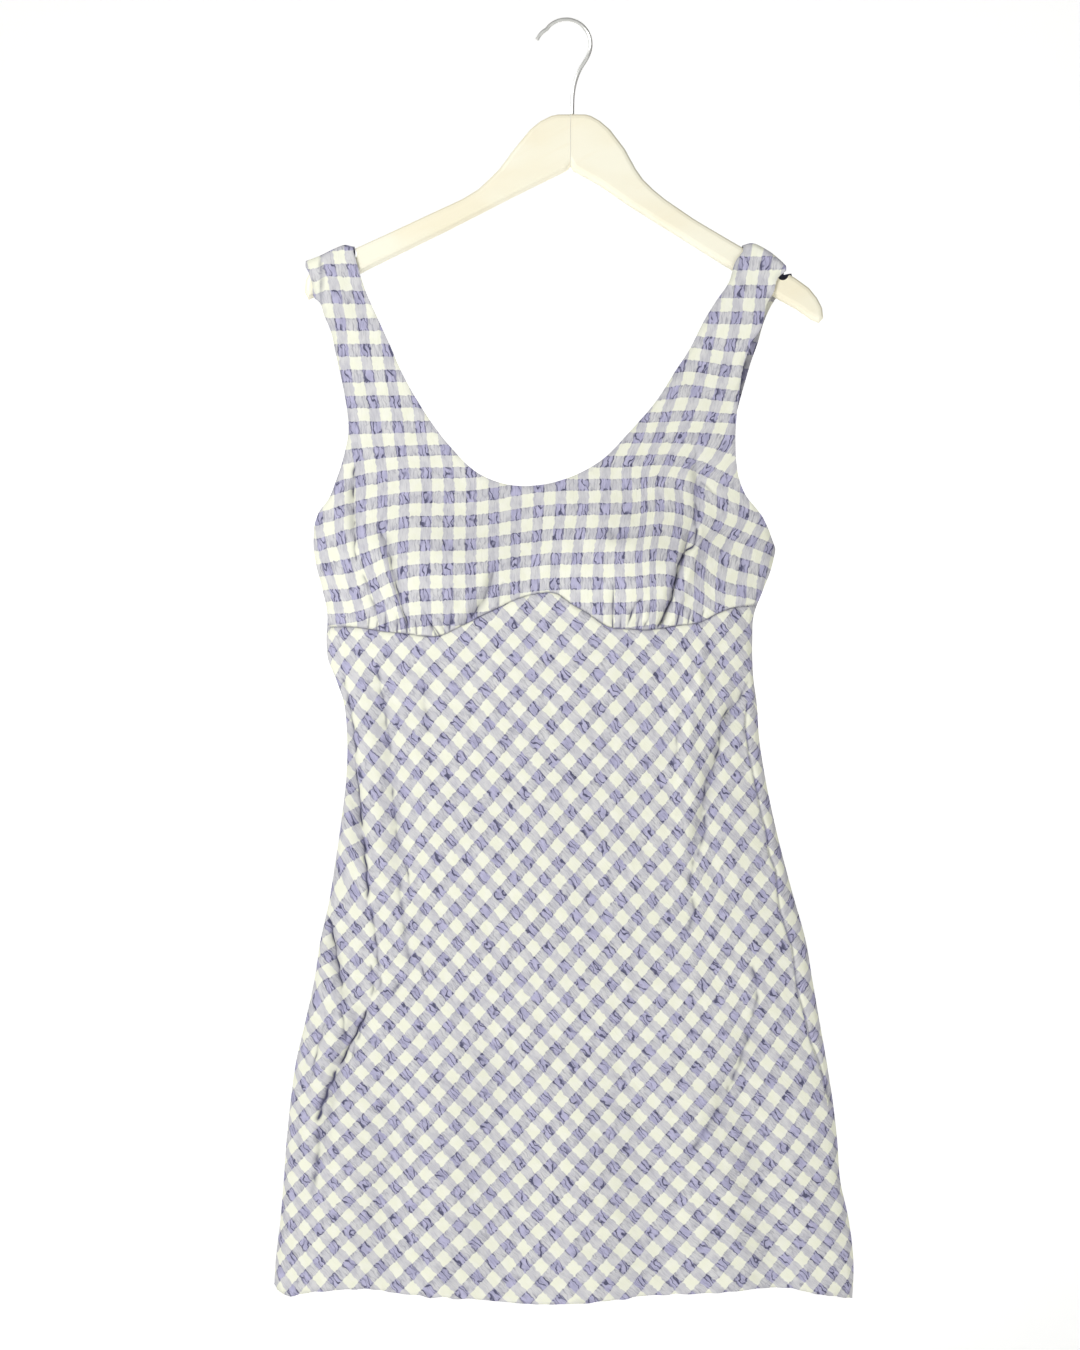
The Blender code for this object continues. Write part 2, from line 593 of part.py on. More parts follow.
def cloth_panel(name, lines, moves, side, on_strap, material):
    """Builds one panel: its outline, its points, their places on the body, and the wall through them."""
    outline, names = join_lines(*lines)
    flat, faces, numbers = triangles(outline, inner_points(outline, moves, BACK_SCALE if side > 0 else 1))
    surface = strap_surface if on_strap else body
    places, out = surface(flat[:, 0], flat[:, 1], side)
    moved, _, _ = moves(places[:, 0], flat[:, 1])
    held = ease(0, SIDE_FADE, 1 - np.abs(flat[:, 0])) * (1 - ease(*STRAP_FADE, flat[:, 1]))
    points = places + out * (moved * held)[:, None]
    normals = face_normals(points, faces)
    if (normals * out).sum() < 0:
        faces = [face[::-1] for face in faces]
        normals = -normals
    for k, number in enumerate(numbers):
        at = names[number] if number >= 0 else set()
        if "seam" in at:
            normals[k] = out[k]
        elif "shoulder" in at:
            normals[k] = (normals[k][0], 0, normals[k][2])
            normals[k] /= np.linalg.norm(normals[k])
    outer, inner = points + normals * WALL / 2, points - normals * WALL / 2
    count = len(points)
    faces_all = [list(f) for f in faces] + [[i + count for i in reversed(f)] for f in faces]
    faces_all += [[b, a, a + count, b + count] for a, b in rim_edges(faces)]
    return mesh_object(name, np.vstack([outer, inner]), faces_all, material)


def mesh_object(name, points_mm, faces, material):
    """A smooth-shaded object from points in millimetres."""
    mesh = bpy.data.meshes.new(name)
    mesh.from_pydata([tuple(p) for p in np.asarray(points_mm) * MM], [], faces)
    mesh.materials.append(material)
    mesh.shade_smooth()
    mesh.set_sharp_from_angle(angle=math.radians(50))
    obj = bpy.data.objects.new(name, mesh)
    bpy.context.scene.collection.objects.link(obj)
    return obj


def finish(name, colour, roughness, metallic=0.0):
    """A Principled material."""
    material = bpy.data.materials.new(name)
    material.use_nodes = True
    shader = material.node_tree.nodes["Principled BSDF"]
    shader.inputs["Base Color"].default_value = (*colour, 1.0)
    shader.inputs["Roughness"].default_value = roughness
    shader.inputs["Metallic"].default_value = metallic
    return material


def bodice(name, neck, left_armhole, right_armhole, seam, moves, side, material):
    """A bodice panel: two straps, the neckline, armholes, side seams and the seam under the bust."""
    seam_left, seam_right = seam[0].z, seam[-1].z
    trim = SEAM_GAP / 2
    left_edge = side_line(seam_left + trim, left_armhole[-1].z, -1, side, EDGE_STEP)
    right_edge = side_line(seam_right + trim, right_armhole[-1].z, 1, side, EDGE_STEP)
    lines = (
        ("free", strap_edge(neck, EDGE_STEP)),
        ("shoulder", shoulder_line(neck[-1].x, right_armhole[0].x)),
        ("free", strap_edge(right_armhole, EDGE_STEP)[:-1]),
        ("seam", right_edge[::-1]),
        ("seam", cross_line(seam, trim, SEAM_STEP)[-2:0:-1]),
        ("seam", left_edge),
        ("free", strap_edge(left_armhole[::-1], EDGE_STEP)[1:]),
        ("shoulder", shoulder_line(left_armhole[0].x, neck[0].x)),
    )
    return cloth_panel(name, lines, moves, side, True, material)


def skirt(name, seam, hem, moves, side, material):
    """A skirt panel, from the seam under the bust to the hem."""
    trim = SEAM_GAP / 2
    left_edge = side_line(hem[0].z, seam[0].z - trim, -1, side, SIDE_STEP)
    right_edge = side_line(hem[-1].z, seam[-1].z - trim, 1, side, SIDE_STEP)
    lines = (
        ("seam", cross_line(seam, -trim, SEAM_STEP)[1:-1]),
        ("seam", right_edge[::-1]),
        ("free", cross_line(hem, 0, EDGE_STEP)[-2:0:-1]),
        ("seam", left_edge),
    )
    return cloth_panel(name, lines, moves, side, False, material)


def hanger_arm(name, top, tip, low, notch, material):
    """A flat wooden arm with rounded edges, bowed to the front, and a notch for straps in its top edge."""
    outline = [Spot(*p) for p in top + tip] + list(reversed(low))
    bm = bmesh.new()
    ring = [bm.verts.new((s.x * MM, -ARM_THICK / 2 * MM, s.z * MM)) for s in outline]
    front = bm.faces.new(ring)
    bm.normal_update()
    if front.normal.y > 0:
        bmesh.ops.reverse_faces(bm, faces=[front])
    grown = bmesh.ops.extrude_face_region(bm, geom=[front])
    back = [v for v in grown["geom"] if isinstance(v, bmesh.types.BMVert)]
    bmesh.ops.translate(bm, verts=back, vec=(0, ARM_THICK * MM, 0))
    bmesh.ops.recalc_face_normals(bm, faces=bm.faces)
    joint = JOINT_X * MM
    rims = [
        e
        for e in bm.edges
        if abs(e.verts[0].co.y - e.verts[1].co.y) < 1e-6
        and not all(abs(v.co.x - joint) < 1e-6 for v in e.verts)
    ]
    bmesh.ops.bevel(bm, geom=rims, offset=ARM_ROUND * MM, segments=3, profile=0.5, affect="EDGES")
    outwards = 1 if tip[0].x > 0 else -1
    for station in range(ARM_STATION, int(ARM_REACH) - 5, ARM_STATION):
        everything = bm.verts[:] + bm.edges[:] + bm.faces[:]
        spot = (outwards * station * MM, 0, 0)
        bmesh.ops.bisect_plane(bm, geom=everything, plane_co=spot, plane_no=(1, 0, 0))
    gap = SEAM_GAP / 2 * MM * outwards
    for vert in bm.verts:
        vert.co.y += bow(vert.co.x / MM) * MM
        if abs(vert.co.x - joint) < 1e-6:
            vert.co.x += gap
    mesh = bpy.data.meshes.new(name)
    bm.to_mesh(mesh)
    bm.free()
    mesh.materials.append(material)
    arm = bpy.data.objects.new(name, mesh)
    bpy.context.scene.collection.objects.link(arm)
    cut = arm.modifiers.new("notch", "BOOLEAN")
    cut.operation = "DIFFERENCE"
    cut.object = notch_cutter(name + "_notch_cutter", notch, top)
    return arm


def notch_cutter(name, notch, top):
    """A slot with a round bottom, square to the arm's top edge."""
    rise = (top[-1].z - top[-2].z) / (top[-1].x - top[-2].x)
    slope = math.atan(rise)
    radius = NOTCH_WIDTH / 2
    profile = [(radius, NOTCH_ABOVE)]
    profile += [
        (radius * math.cos(math.pi * k / 10), radius - NOTCH_DEEP - radius * math.sin(math.pi * k / 10))
        for k in range(11)
    ]
    profile += [(-radius, NOTCH_ABOVE)]
    points = []
    for y in (-ARM_THICK * 1.6, ARM_THICK):
        for u, v in profile:
            x = notch.x + u * math.cos(slope) - v * math.sin(slope)
            z = notch.z + u * math.sin(slope) + v * math.cos(slope)
            points.append((x, y, z))
    count = len(profile)
    faces = [list(range(count)), list(range(2 * count - 1, count - 1, -1))]
    faces += [[k, k + count, (k + 1) % count + count, (k + 1) % count] for k in range(count)]
    cutter = mesh_object(name, points, faces, bpy.data.materials["wood"])
    bm = bmesh.new()
    bm.from_mesh(cutter.data)
    bmesh.ops.recalc_face_normals(bm, faces=bm.faces)
    bm.to_mesh(cutter.data)
    bm.free()
    cutter.hide_render = True
    cutter.display_type = "WIRE"
    return cutter


def hook(material):
    """The wire hook: its round bend, the S below it and the shank that enters the wood."""
    start, end = math.radians(HOOK_START), math.radians(HOOK_END)
    bend = [
        Spot(HOOK_CENTRE.x + HOOK_RADIUS * math.cos(a), HOOK_CENTRE.z + HOOK_RADIUS * math.sin(a))
        for a in np.linspace(start, end, 15)
    ]
    line = run_through(list(HOOK_TIP) + bend + list(HOOK_SHANK), WIRE_STEP)
    curve = bpy.data.curves.new("hanger_hook", "CURVE")
    curve.dimensions = "3D"
    curve.bevel_depth = WIRE_THICK / 2 * MM
    curve.bevel_resolution = 2
    curve.use_fill_caps = True
    spline = curve.splines.new("POLY")
    spline.points.add(len(line) - 1)
    for point, (x, z) in zip(spline.points, line, strict=True):
        point.co = (x * MM, 0, z * MM, 1)
    curve.materials.append(material)
    wire = bpy.data.objects.new("hanger_hook", curve)
    bpy.context.scene.collection.objects.link(wire)
    return wire


def build():
    for old in list(bpy.data.objects):
        bpy.data.objects.remove(old, do_unlink=True)
    gingham = finish("gingham", (0.62, 0.61, 0.74), 0.85)
    wood = finish("wood", (0.90, 0.85, 0.72), 0.45)
    steel = finish("steel", (0.72, 0.72, 0.70), 0.3, 1.0)
    bodice("bodice_front", NECK_FRONT, ARMHOLE_FRONT_LEFT, ARMHOLE_FRONT_RIGHT, SEAM_FRONT,
           bodice_front_moves, -1, gingham)
    bodice("bodice_back", NECK_BACK, ARMHOLE_BACK_LEFT, ARMHOLE_BACK_RIGHT, SEAM_BACK,
           bodice_back_moves, 1, gingham)
    skirt("skirt_front", SEAM_FRONT, HEM_FRONT, skirt_front_moves, -1, gingham)
    skirt("skirt_back", SEAM_BACK, HEM_BACK, skirt_back_moves, 1, gingham)
    hanger_arm("hanger_arm_left", ARM_TOP_LEFT, ARM_TIP_LEFT, ARM_LOW_LEFT, NOTCH_LEFT, wood)
    hanger_arm("hanger_arm_right", ARM_TOP_RIGHT, ARM_TIP_RIGHT, ARM_LOW_RIGHT, NOTCH_RIGHT, wood)
    hook(steel)


build()
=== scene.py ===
"""The looks of a sleeveless gingham summer dress on a plain wooden hanger, built on the parts of its frame.

Metres, +Z up, the front faces -Y, and the origin is the inside top of the hook's bend. The tables are in
millimetres. Each cloth panel is a thin shell on the middle surface of its solid: a flattened tube whose width
follows the outline and whose front and back are shallow domes. Its outline and the points inside it are laid
out flat, by column round the body and height, joined into triangles there and carried to the surface. Then
folds, gathers, creases and puckers are pushed in or pulled out. The cloth's UV map counts its checks.
"""

import math
from collections import namedtuple

import bpy
import numpy as np
from bpy.props import FloatProperty, FloatVectorProperty, PointerProperty
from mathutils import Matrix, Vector, noise
from mathutils.geometry import delaunay_2d_cdt


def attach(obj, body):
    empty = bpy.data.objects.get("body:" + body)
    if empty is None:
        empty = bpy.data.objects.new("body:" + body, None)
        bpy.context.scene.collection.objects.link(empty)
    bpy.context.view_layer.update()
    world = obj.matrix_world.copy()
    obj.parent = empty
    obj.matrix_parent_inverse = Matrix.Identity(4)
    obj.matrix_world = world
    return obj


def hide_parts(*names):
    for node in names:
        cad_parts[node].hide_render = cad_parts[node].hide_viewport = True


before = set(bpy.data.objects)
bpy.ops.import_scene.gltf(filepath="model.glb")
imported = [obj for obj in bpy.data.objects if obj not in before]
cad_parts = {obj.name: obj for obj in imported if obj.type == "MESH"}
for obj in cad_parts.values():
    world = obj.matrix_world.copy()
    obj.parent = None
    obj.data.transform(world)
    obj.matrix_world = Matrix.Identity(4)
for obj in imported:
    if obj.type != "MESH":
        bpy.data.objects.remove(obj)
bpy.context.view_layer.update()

bl_info = {
    "name": "Gingham dress on a hanger",
    "version": (1, 0, 0),
    "blender": (4, 5, 0),
    "location": "3D View > Sidebar > Dress",
    "description": "Builds a gingham summer dress on its hanger, with its cloth, wood and wire finishes",
    "category": "Object",
}

MM = 0.001

# Spacing of the cloth's points: along its edges, and inside it for each level of detail
EDGE_STEP, SEAM_STEP, SIDE_STEP = 3.2, 2.0, 4.0
POINT_STEPS = (4.4, 2.4, 1.3)
DETAIL_LEVELS = (0.1, 0.42)
# Staggered rows stand this share of a step apart, and points keep this share of a step from the outline
ROW_HEIGHT, OUTLINE_CLEAR = 0.87, 0.5
# Rows of points that follow a crease lie these multiples of its width to the sides of it
ROW_STEP, ROW_GAP = 1.5, 0.55
ROW_SHARES = (-3.2, -2.2, -1.4, -0.75, -0.3, 0, 0.3, 0.75, 1.4, 2.2, 3.2)
ROWS_CLEAR = ROW_SHARES[-1] + 0.25
# The back, which is plainer, has its points further apart
BACK_SCALE = 1.2
# A column counts as this many millimetres when a panel is laid flat
FLAT_WIDTH = 270.0
# The share of the half width where seams and hems stop being stepped across and run on to the side seam
SIDE_MARGIN = 0.985
# How fast a place runs round the side seam as its column changes, as a share of the depth
SIDE_RATE = math.sqrt(3)
# Panels stop this far apart at a seam, and points of an outline that are closer than this are one
SEAM_GAP, SAME_POINT = 0.12, 0.4
# The heights along a seam are settled in this many passes
SEAM_PASSES = 6
# Over the arms a strap's points lie in rows, and in more rows just below where it begins to bend
BEND_REGION = -230.0
BEND_SHARES = tuple(k / 8 for k in range(1, 8))
BEND_ACROSS, BEND_BELOW, BEND_BELOW_CLEAR, BEND_EDGE_CLEAR = 2.6, 2.6, 2.7, 0.35
SHOULDER_POINTS = 9
SHARP_ANGLE = math.radians(60)
# The checks' width where the cloth turns away is measured in this many steps from the middle
TURN_STEPS = 24

# Folds fade out over this share of the column beside a side seam, and between these heights up the straps
SIDE_FADE = 0.12
STRAP_FADE = (-300.0, -262.0)
# Between these heights the straps leave the body's depth and hang straight from the arms
HANG_FADE = (-345.0, -262.0)

# The strap's middle surface where it goes over an arm: half an ellipse with these half sizes
WRAP_Y, WRAP_Z = 7.2, 6.0
WRAP_ARC = math.pi / 2 * math.sqrt((WRAP_Y**2 + WRAP_Z**2) / 2)
# It lies this far above the arm's top, and arches up from there by at least this much
ON_ARM, LEAST_LIFT = 1.1, 0.3
# The left strap's outer edge is a layer that lies a step behind the rest, down to the foot of the shoulder
# FLAP_SHADE is the painted shade along that step
FLAP_X, FLAP_EDGE, FLAP_STEP, FLAP_FADE, FLAP_SHADE = -210.4, 1.2, 1.0, (-254.0, -246.0), 0.6
# The right strap's shade on the strap behind it, and in the notch
BEHIND_LOW, BEHIND_HIGH, BEHIND_WIDE, BEHIND_SHADE = (-420.0, -400.0), (-300.0, -285.0), 1.7, 1.4
NOTCH_X, NOTCH_Z, NOTCH_WIDE = 192.0, -221.0, 9.0
# RIM_SHADE is painted shade along the cloth's free edges
RIM_SHADE = 0.22
# The arms curve to the front by this much at this distance from the middle
ARM_BOW, ARM_REACH = 6.0, 222.0

# Seams are drawn in where the cloth is stitched, and the skirt's allowance raises a lip below its seam
SEAM_DIP, SEAM_WIDE = 1.3, 1.7
LIP_RISE, LIP_FROM, LIP_WIDE = 0.6, 4.2, 2.4
SEAM_SHADE, SEAM_SHADE_WIDE = 0.52, 0.9
# A fold's lip lies this many widths to its side and is this many wide, and its fine points reach this far.
# A fold wider than SHARP_WIDTH needs fewer of them and is shaded less.
FOLD_LIP_AT, FOLD_LIP_WIDE, FOLD_REACH, SHARP_WIDTH = 2.0, 1.2, 2.2, 4.0
# A fold's or crease's curve is drawn through this many points
CURVE_POINTS = 13
# Folds and creases fade in and out over this share of their length
FOLD_FADE, CREASE_FADE = 0.3, 0.12
# A crease has the same measures, in its own widths, and its dark line of painted shade is narrower than its
# trough.
# Its lips stand out by a share of its depth.
CREASE_LIP_AT, CREASE_LIP_WIDE, CREASE_REACH, DARK_WIDE, LIP_SHARE = 2.2, 0.9, 2.6, 0.7, 0.22
# A crease of the depth DEEP_CREASE is shaded fully, a deeper one up to DARKEST times that, and a fold less
DEEP_CREASE, DARKEST, FOLD_SHADE = 2.0, 1.5, 0.3
# A crease wanders a little off its curve and comes and goes along it, unless it is as deep as UNBROKEN
WOBBLE, WOBBLE_LENGTH, WOBBLE_WIDE = 0.55, 2.6, 5.5
BREAK_LENGTH, BREAK_SHARE, UNBROKEN = 2.9, 0.62, 3.4


def table(kind, *rows):
    """A table whose rows are all of one kind."""
    return tuple(kind(*row) for row in rows)


# The dress's edges and depths at a height, as if it were one smooth tube
Section = namedtuple("Section", "z left right front back")
SECTIONS = table(
    Section,
    (-1115, -253, 247, 34, 29),
    (-1073, -251, 248.5, 34, 28),
    (-1038, -247, 244.5, 33, 27),
    (-1003, -244, 237, 33, 27),
    (-969, -241.5, 234.5, 32, 26),
    (-934, -238, 230.5, 32, 26),
    (-899, -233, 225, 31, 25),
    (-865, -225, 219, 30, 25),
    (-830, -217.5, 213, 30, 24),
    (-795, -212, 207, 29, 23),
    (-761, -204.5, 197.5, 28, 22),
    (-726, -199, 188, 27, 20),
    (-691, -194, 179.5, 25, 18),
    (-657, -190, 172.5, 23, 17),
    (-622, -189, 167, 22, 16),
    (-588, -192.5, 164.5, 21, 15),
    (-570, -198.5, 162, 22, 15),
    (-553, -205.5, 161, 22, 15),
    (-535, -207, 161, 23, 16),
    (-515, -206, 162, 24, 16),
    (-492, -210.5, 170.5, 25, 17),
    (-475, -215, 177, 26, 17),
    (-457, -218, 181, 26, 17),
    (-438, -218, 182, 25, 16),
    (-400, -222, 186, 22, 15),
    (-340, -232, 196, 16, 12),
    (-280, -238, 202, 12, 10),
    (-180, -240, 204, 10, 9),
)

Spot = namedtuple("Spot", "x z")
NECK_FRONT = table(
    Spot,
    (-182.7, -198), (-178.4, -217), (-172.4, -236), (-164.5, -254), (-152.7, -280), (-140, -308.6),
    (-125, -335), (-99.3, -370.7), (-73.6, -394.8), (-48, -404), (-22.5, -404), (3, -397.3),
    (28.6, -383.6), (54.3, -357.7), (80, -327), (93, -306), (106, -286), (119.4, -259.7), (128, -245.7),
    (139.4, -229), (146.3, -209.3), (152.3, -198),
)
NECK_BACK = table(
    Spot,
    (-182.7, -198), (-181, -217), (-177, -237), (-170, -256), (-158, -284), (-145, -313), (-128, -345),
    (-106, -376), (-80, -402), (-52, -417), (-24, -421), (4, -415), (32, -400), (60, -374), (85, -343),
    (100, -318), (114, -291), (127, -264), (136, -246), (145, -227), (150, -209), (152.3, -198),
)
# The strap's outer edge and the armhole, from the shoulder down to the side seam
ARMHOLE_FRONT_LEFT = table(
    Spot,
    (-224, -210), (-222, -219), (-218, -231), (-217, -241), (-211, -247), (-208.6, -255), (-202.5, -270),
    (-197.7, -292), (-191, -322.7), (-188, -341), (-187, -355.5), (-189.3, -370), (-197.3, -398),
    (-204.4, -415), (-212.5, -426), (-217.8, -438.6),
)
ARMHOLE_FRONT_RIGHT = table(
    Spot,
    (189, -210), (182.5, -224), (178.2, -237), (173, -246), (167.7, -267), (160, -280), (153.5, -297),
    (149.4, -319), (146.7, -342.6), (145.3, -364), (146, -383), (148.4, -398.4), (153.8, -411),
    (163.5, -423), (170, -432), (177, -447), (181, -457),
)
ARMHOLE_BACK_LEFT = table(
    Spot,
    (-224, -210), (-217, -222), (-211, -235), (-206, -250), (-200, -270), (-194, -292), (-189, -318),
    (-185, -345), (-184, -362), (-187, -380), (-193, -400), (-203, -420), (-213, -433), (-217.8, -438.6),
)
ARMHOLE_BACK_RIGHT = table(
    Spot,
    (189, -210), (195, -217), (193.5, -227), (181, -241), (172, -259), (166.8, -276.7), (160.4, -295),
    (154.4, -316), (150, -332), (146, -352), (143.5, -372), (144, -392), (149, -408), (158, -424),
    (170, -441), (178, -452), (181, -457),
)
# The seam under the bust, which rises to an arch at the middle of the front
SEAM_FRONT = table(
    Spot,
    (-210, -524.4), (-181, -525), (-154, -529), (-133.5, -531), (-120, -533), (-110, -532.7),
    (-88, -523.3), (-64, -511.5), (-39.5, -500.4), (-26.8, -497), (-8, -497), (4.7, -505.5), (17.5, -513),
    (36.3, -525), (53.4, -526.7), (69.7, -527.5), (92.8, -524), (118, -519.7), (127.5, -514.5),
    (141, -509), (165, -505.3),
)
SEAM_BACK = table(Spot, (-210, -524.4), (-100, -522), (0, -517), (100, -511), (165, -505.3))
HEM_FRONT = table(
    Spot,
    (-256, -1093), (-243, -1098.5), (-217, -1094), (-191, -1090), (-152, -1091), (-100, -1094.5),
    (-60, -1097), (-9, -1098.5), (42, -1095), (81, -1092), (120, -1090.5), (172, -1089), (198, -1091.5),
    (211, -1095), (237, -1101), (250, -1105.5),
)
HEM_BACK = table(Spot, (-256, -1093), (-200, -1096), (0, -1099), (200, -1098), (250, -1105.5))

# How far the strap arches above the arm across its width
Lift = namedtuple("Lift", "x rise")
STRAP_LIFT = table(
    Lift,
    (-232, 7), (-224, 7), (-211, 6), (-198, 6.5), (-190.5, 5.5), (-183, 0.2), (0, 0.2), (152.5, 0.2),
    (158, 5.5), (174, 8.5), (183, 7), (192, 3),
)

# A fold runs as a curve through three spots. Its trough is pushed in by deep. Its lip is pulled out, on the
# right of the way it runs, or on the left where lip is below 0. It fades out at its start where start is 1,
# and at its end where end is 1.
Fold = namedtuple("Fold", "x0 z0 x1 z1 x2 z2 width deep lip start end")
SKIRT_FRONT_FOLDS = table(
    Fold,
    (-194, -575, -184.5, -656, -166, -750, 6.0, 3.4, 1.6, 1, 1),
    (-207, -772, -198, -810, -186, -860, 5.0, 2.8, 1.4, 1, 1),
    (-166, -846, -193, -894, -217, -1017, 6.5, 4.0, 2.2, 1, 1),
    (-167, -545, -152, -650, -140, -783, 8.0, 2.6, 1.2, 1, 1),
    (118, -532, 108, -615, 94, -690, 9.0, -3.2, 0.0, 1, 1),
    (155, -575, 132, -630, 100, -762, 6.0, 3.6, 1.8, 1, 1),
    (167, -848, 147, -912, 112, -958, 12.0, 3.2, 1.4, 1, 1),
    (-150, -880, -158, -1000, -166, -1110, 20.0, 4.0, 1.6, 1, 0),
    (-60, -820, -66, -980, -74, -1110, 26.0, 3.2, 1.2, 1, 0),
    (48, -860, 60, -1000, 70, -1110, 24.0, 3.6, 1.4, 1, 0),
    (150, -900, 166, -1010, 180, -1110, 18.0, 4.2, 1.8, 1, 0),
)
SKIRT_BACK_FOLDS = table(
    Fold,
    (-170, -560, -162, -660, -150, -770, 7.0, 3.0, 1.4, 1, 1),
    (140, -565, 128, -650, 108, -770, 8.0, 3.2, 1.6, 1, 1),
    (-186, -830, -196, -900, -212, -1010, 7.0, 3.6, 1.8, 1, 1),
    (-128, -850, -138, -980, -146, -1110, 21.0, 4.2, 1.6, 1, 0),
    (-30, -800, -34, -960, -40, -1110, 25.0, 3.4, 1.4, 1, 0),
    (70, -830, 82, -980, 92, -1110, 24.0, 4.0, 1.6, 1, 0),
    (168, -900, 180, -1000, 192, -1110, 16.0, 3.6, 1.4, 1, 0),
)
BODICE_FRONT_FOLDS = table(
    Fold,
    (-181, -392, -183, -420, -179, -464, 4.0, 2.6, 1.0, 1, 1),
    (-159, -440, -148, -466, -138, -508, 4.0, 2.2, 1.0, 1, 1),
    (109, -372, 112, -410, 109, -446, 4.5, 1.8, 0.8, 1, 1),
    (111, -430, 94, -480, 82, -524, 4.0, 4.4, -2.6, 1, 0),
    (-59, -470, -68, -498, -86, -521, 4.0, 2.4, 1.2, 1, 0),
    (26, -436, 44, -448, 58, -440, 5.0, 1.4, 0.6, 1, 1),
)
BODICE_BACK_FOLDS = table(
    Fold,
    (-172, -400, -168, -430, -160, -470, 5.0, 2.2, 1.0, 1, 1),
    (122, -392, 116, -430, 108, -474, 5.0, 2.4, 1.0, 1, 1),
    (-20, -440, -14, -470, -18, -505, 9.0, 2.0, 0.0, 1, 1),
)

# A gather starts at the seam under the bust and dies out above it
Gather = namedtuple("Gather", "x lean height deep")
GATHERS = table(
    Gather,
    (-170, 2, 15, 1.4), (-163, 2, 12, 1.2), (-155, 1, 24, 2.4), (-145, 1, 17, 2.2), (-136.5, 0, 20, 2.4),
    (-128, -1, 16, 2.2), (-111, -12, 26, 3.0), (-100, 3, 22, 2.0), (39.5, 0, 46, 2.2), (46, 1, 14, 1.5),
    (60, 4, 20, 1.6), (94, 4, 22, 2.0), (104, 3, 17, 1.6), (116, 2, 13, 1.3),
)
GATHER_WIDTH, GATHER_START = 2.6, 6.0
# In gather widths, how far a gather's fine points reach and how wide its dark line of painted shade is
GATHER_REACH, GATHER_DARK = 2.6, 0.3
# The shares of its height over which its depth, its dark line of painted shade and its fine points die out
GATHER_FADE, GATHER_DARK_FADE, GATHER_REACH_FADE = (0.35, 1), (0.45, 1), (0.5, 1.1)
# The heights from the seam over which its dark line of painted shade and its fine points begin
GATHER_DARK_FOOT, GATHER_REACH_FOOT = (-1, 1), (-3, 1)

# The fullness of each cup, which drops back to the seam just above it
Cup = namedtuple("Cup", "x z wide high full")
CUPS = table(Cup, (-112, -478, 62, 46, 13), (66, -474, 58, 46, 13))
CUP_START = 16.0

# The arms' top edges, which the straps go over
ARM_TOP_LEFT = table(
    Spot,
    (3.9, -81), (-7, -81), (-13, -82.3), (-22.5, -87), (-31, -94), (-45, -111), (-58, -128.6),
    (-66.7, -137.3), (-76, -146), (-90, -154.6), (-108, -163), (-146, -181), (-214, -212.8),
)
ARM_TOP_RIGHT = table(
    Spot,
    (3.9, -81), (16.5, -81), (21.6, -82.3), (29.4, -86.6), (38, -94), (51, -111), (60.6, -128.6),
    (66.7, -137.3), (75.3, -146), (85.7, -154.6), (110.8, -172), (139.4, -189.2), (198.3, -224),
)

# Their slopes go on to here below the straps
ARM_END_LEFT, ARM_END_RIGHT = Spot(-240, -225), Spot(215, -233.8)

# A crease is a narrow crisp line in the cloth, along a curve through three spots. A ridge's deep is below 0.
Crease = namedtuple("Crease", "x0 z0 x1 z1 x2 z2 width deep")
SKIRT_FRONT_CREASES = table(
    Crease,
    (-194, -566, -186, -598, -182, -640, 1.8, 2.2),
    (-183, -644, -179, -672, -177, -700, 1.7, 2.9),
    (-177, -700, -172, -730, -170, -762, 1.7, 3.0),
    (-169, -764, -164, -784, -160, -822, 1.6, 2.0),
    (-188, -600, -183, -626, -183, -655, 1.2, 1.2),
    (-170, -712, -167, -722, -167, -738, 1.2, -1.2),
    (-164, -552, -156, -600, -151, -640, 2.4, 1.5),
    (-151, -648, -147, -690, -143, -722, 2.2, 1.5),
    (-144, -728, -141, -764, -132, -821, 2.8, 1.3),
    (-126, -560, -121, -590, -119, -618, 3.4, 0.8),
    (-206, -772, -199, -806, -193, -838, 1.5, 2.9),
    (-194, -840, -191, -862, -190, -882, 1.4, 1.6),
    (-169, -850, -183, -878, -196, -902, 1.5, 3.4),
    (-196, -902, -207, -928, -213, -950, 1.9, 3.0),
    (-214, -950, -213, -979, -219, -1013, 3.0, 1.6),
    (-174, -868, -181, -884, -186, -904, 1.3, 1.2),
    (-206, -862, -213, -886, -218, -912, 1.3, 1.7),
    (-166, -852, -173, -866, -181, -884, 1.5, -1.3),
    (-168, -812, -166, -826, -166, -842, 1.6, 1.6),
    (-140, -824, -147, -836, -154, -839, 2.5, 1.4),
    (-158, -822, -160, -832, -166, -838, 1.4, 1.2),
    (-248, -912, -252, -918, -256, -924, 1.4, 1.8),
    (-140, -724, -136, -734, -133, -748, 1.3, 1.6),
    (-128, -808, -122, -818, -118, -832, 1.3, 1.4),
    (-209, -700, -204, -712, -202, -730, 1.3, 1.4),
    (158, -570, 151, -584, 146, -592, 1.6, 1.8),
    (147, -592, 135, -601, 132, -617, 1.6, 2.2),
    (132, -617, 131, -632, 124, -650, 1.8, 2.4),
    (122, -653, 118, -668, 119, -684, 1.8, 2.2),
    (119, -684, 118, -702, 111, -722, 2.0, 1.9),
    (111, -722, 106, -738, 107, -752, 2.2, 1.5),
    (107, -754, 108, -771, 99, -790, 2.6, 1.2),
    (118, -536, 115, -562, 109, -590, 2.6, -1.5),
    (109, -592, 105, -616, 102, -640, 2.4, -1.5),
    (102, -640, 97, -664, 92, -690, 2.8, -1.2),
    (98, -600, 95, -622, 93, -640, 1.8, 1.1),
    (158, -812, 163, -836, 158, -860, 2.2, 1.6),
    (157, -866, 149, -894, 136, -924, 2.6, 1.6),
    (134, -928, 119, -951, 104, -973, 3.0, 1.3),
)
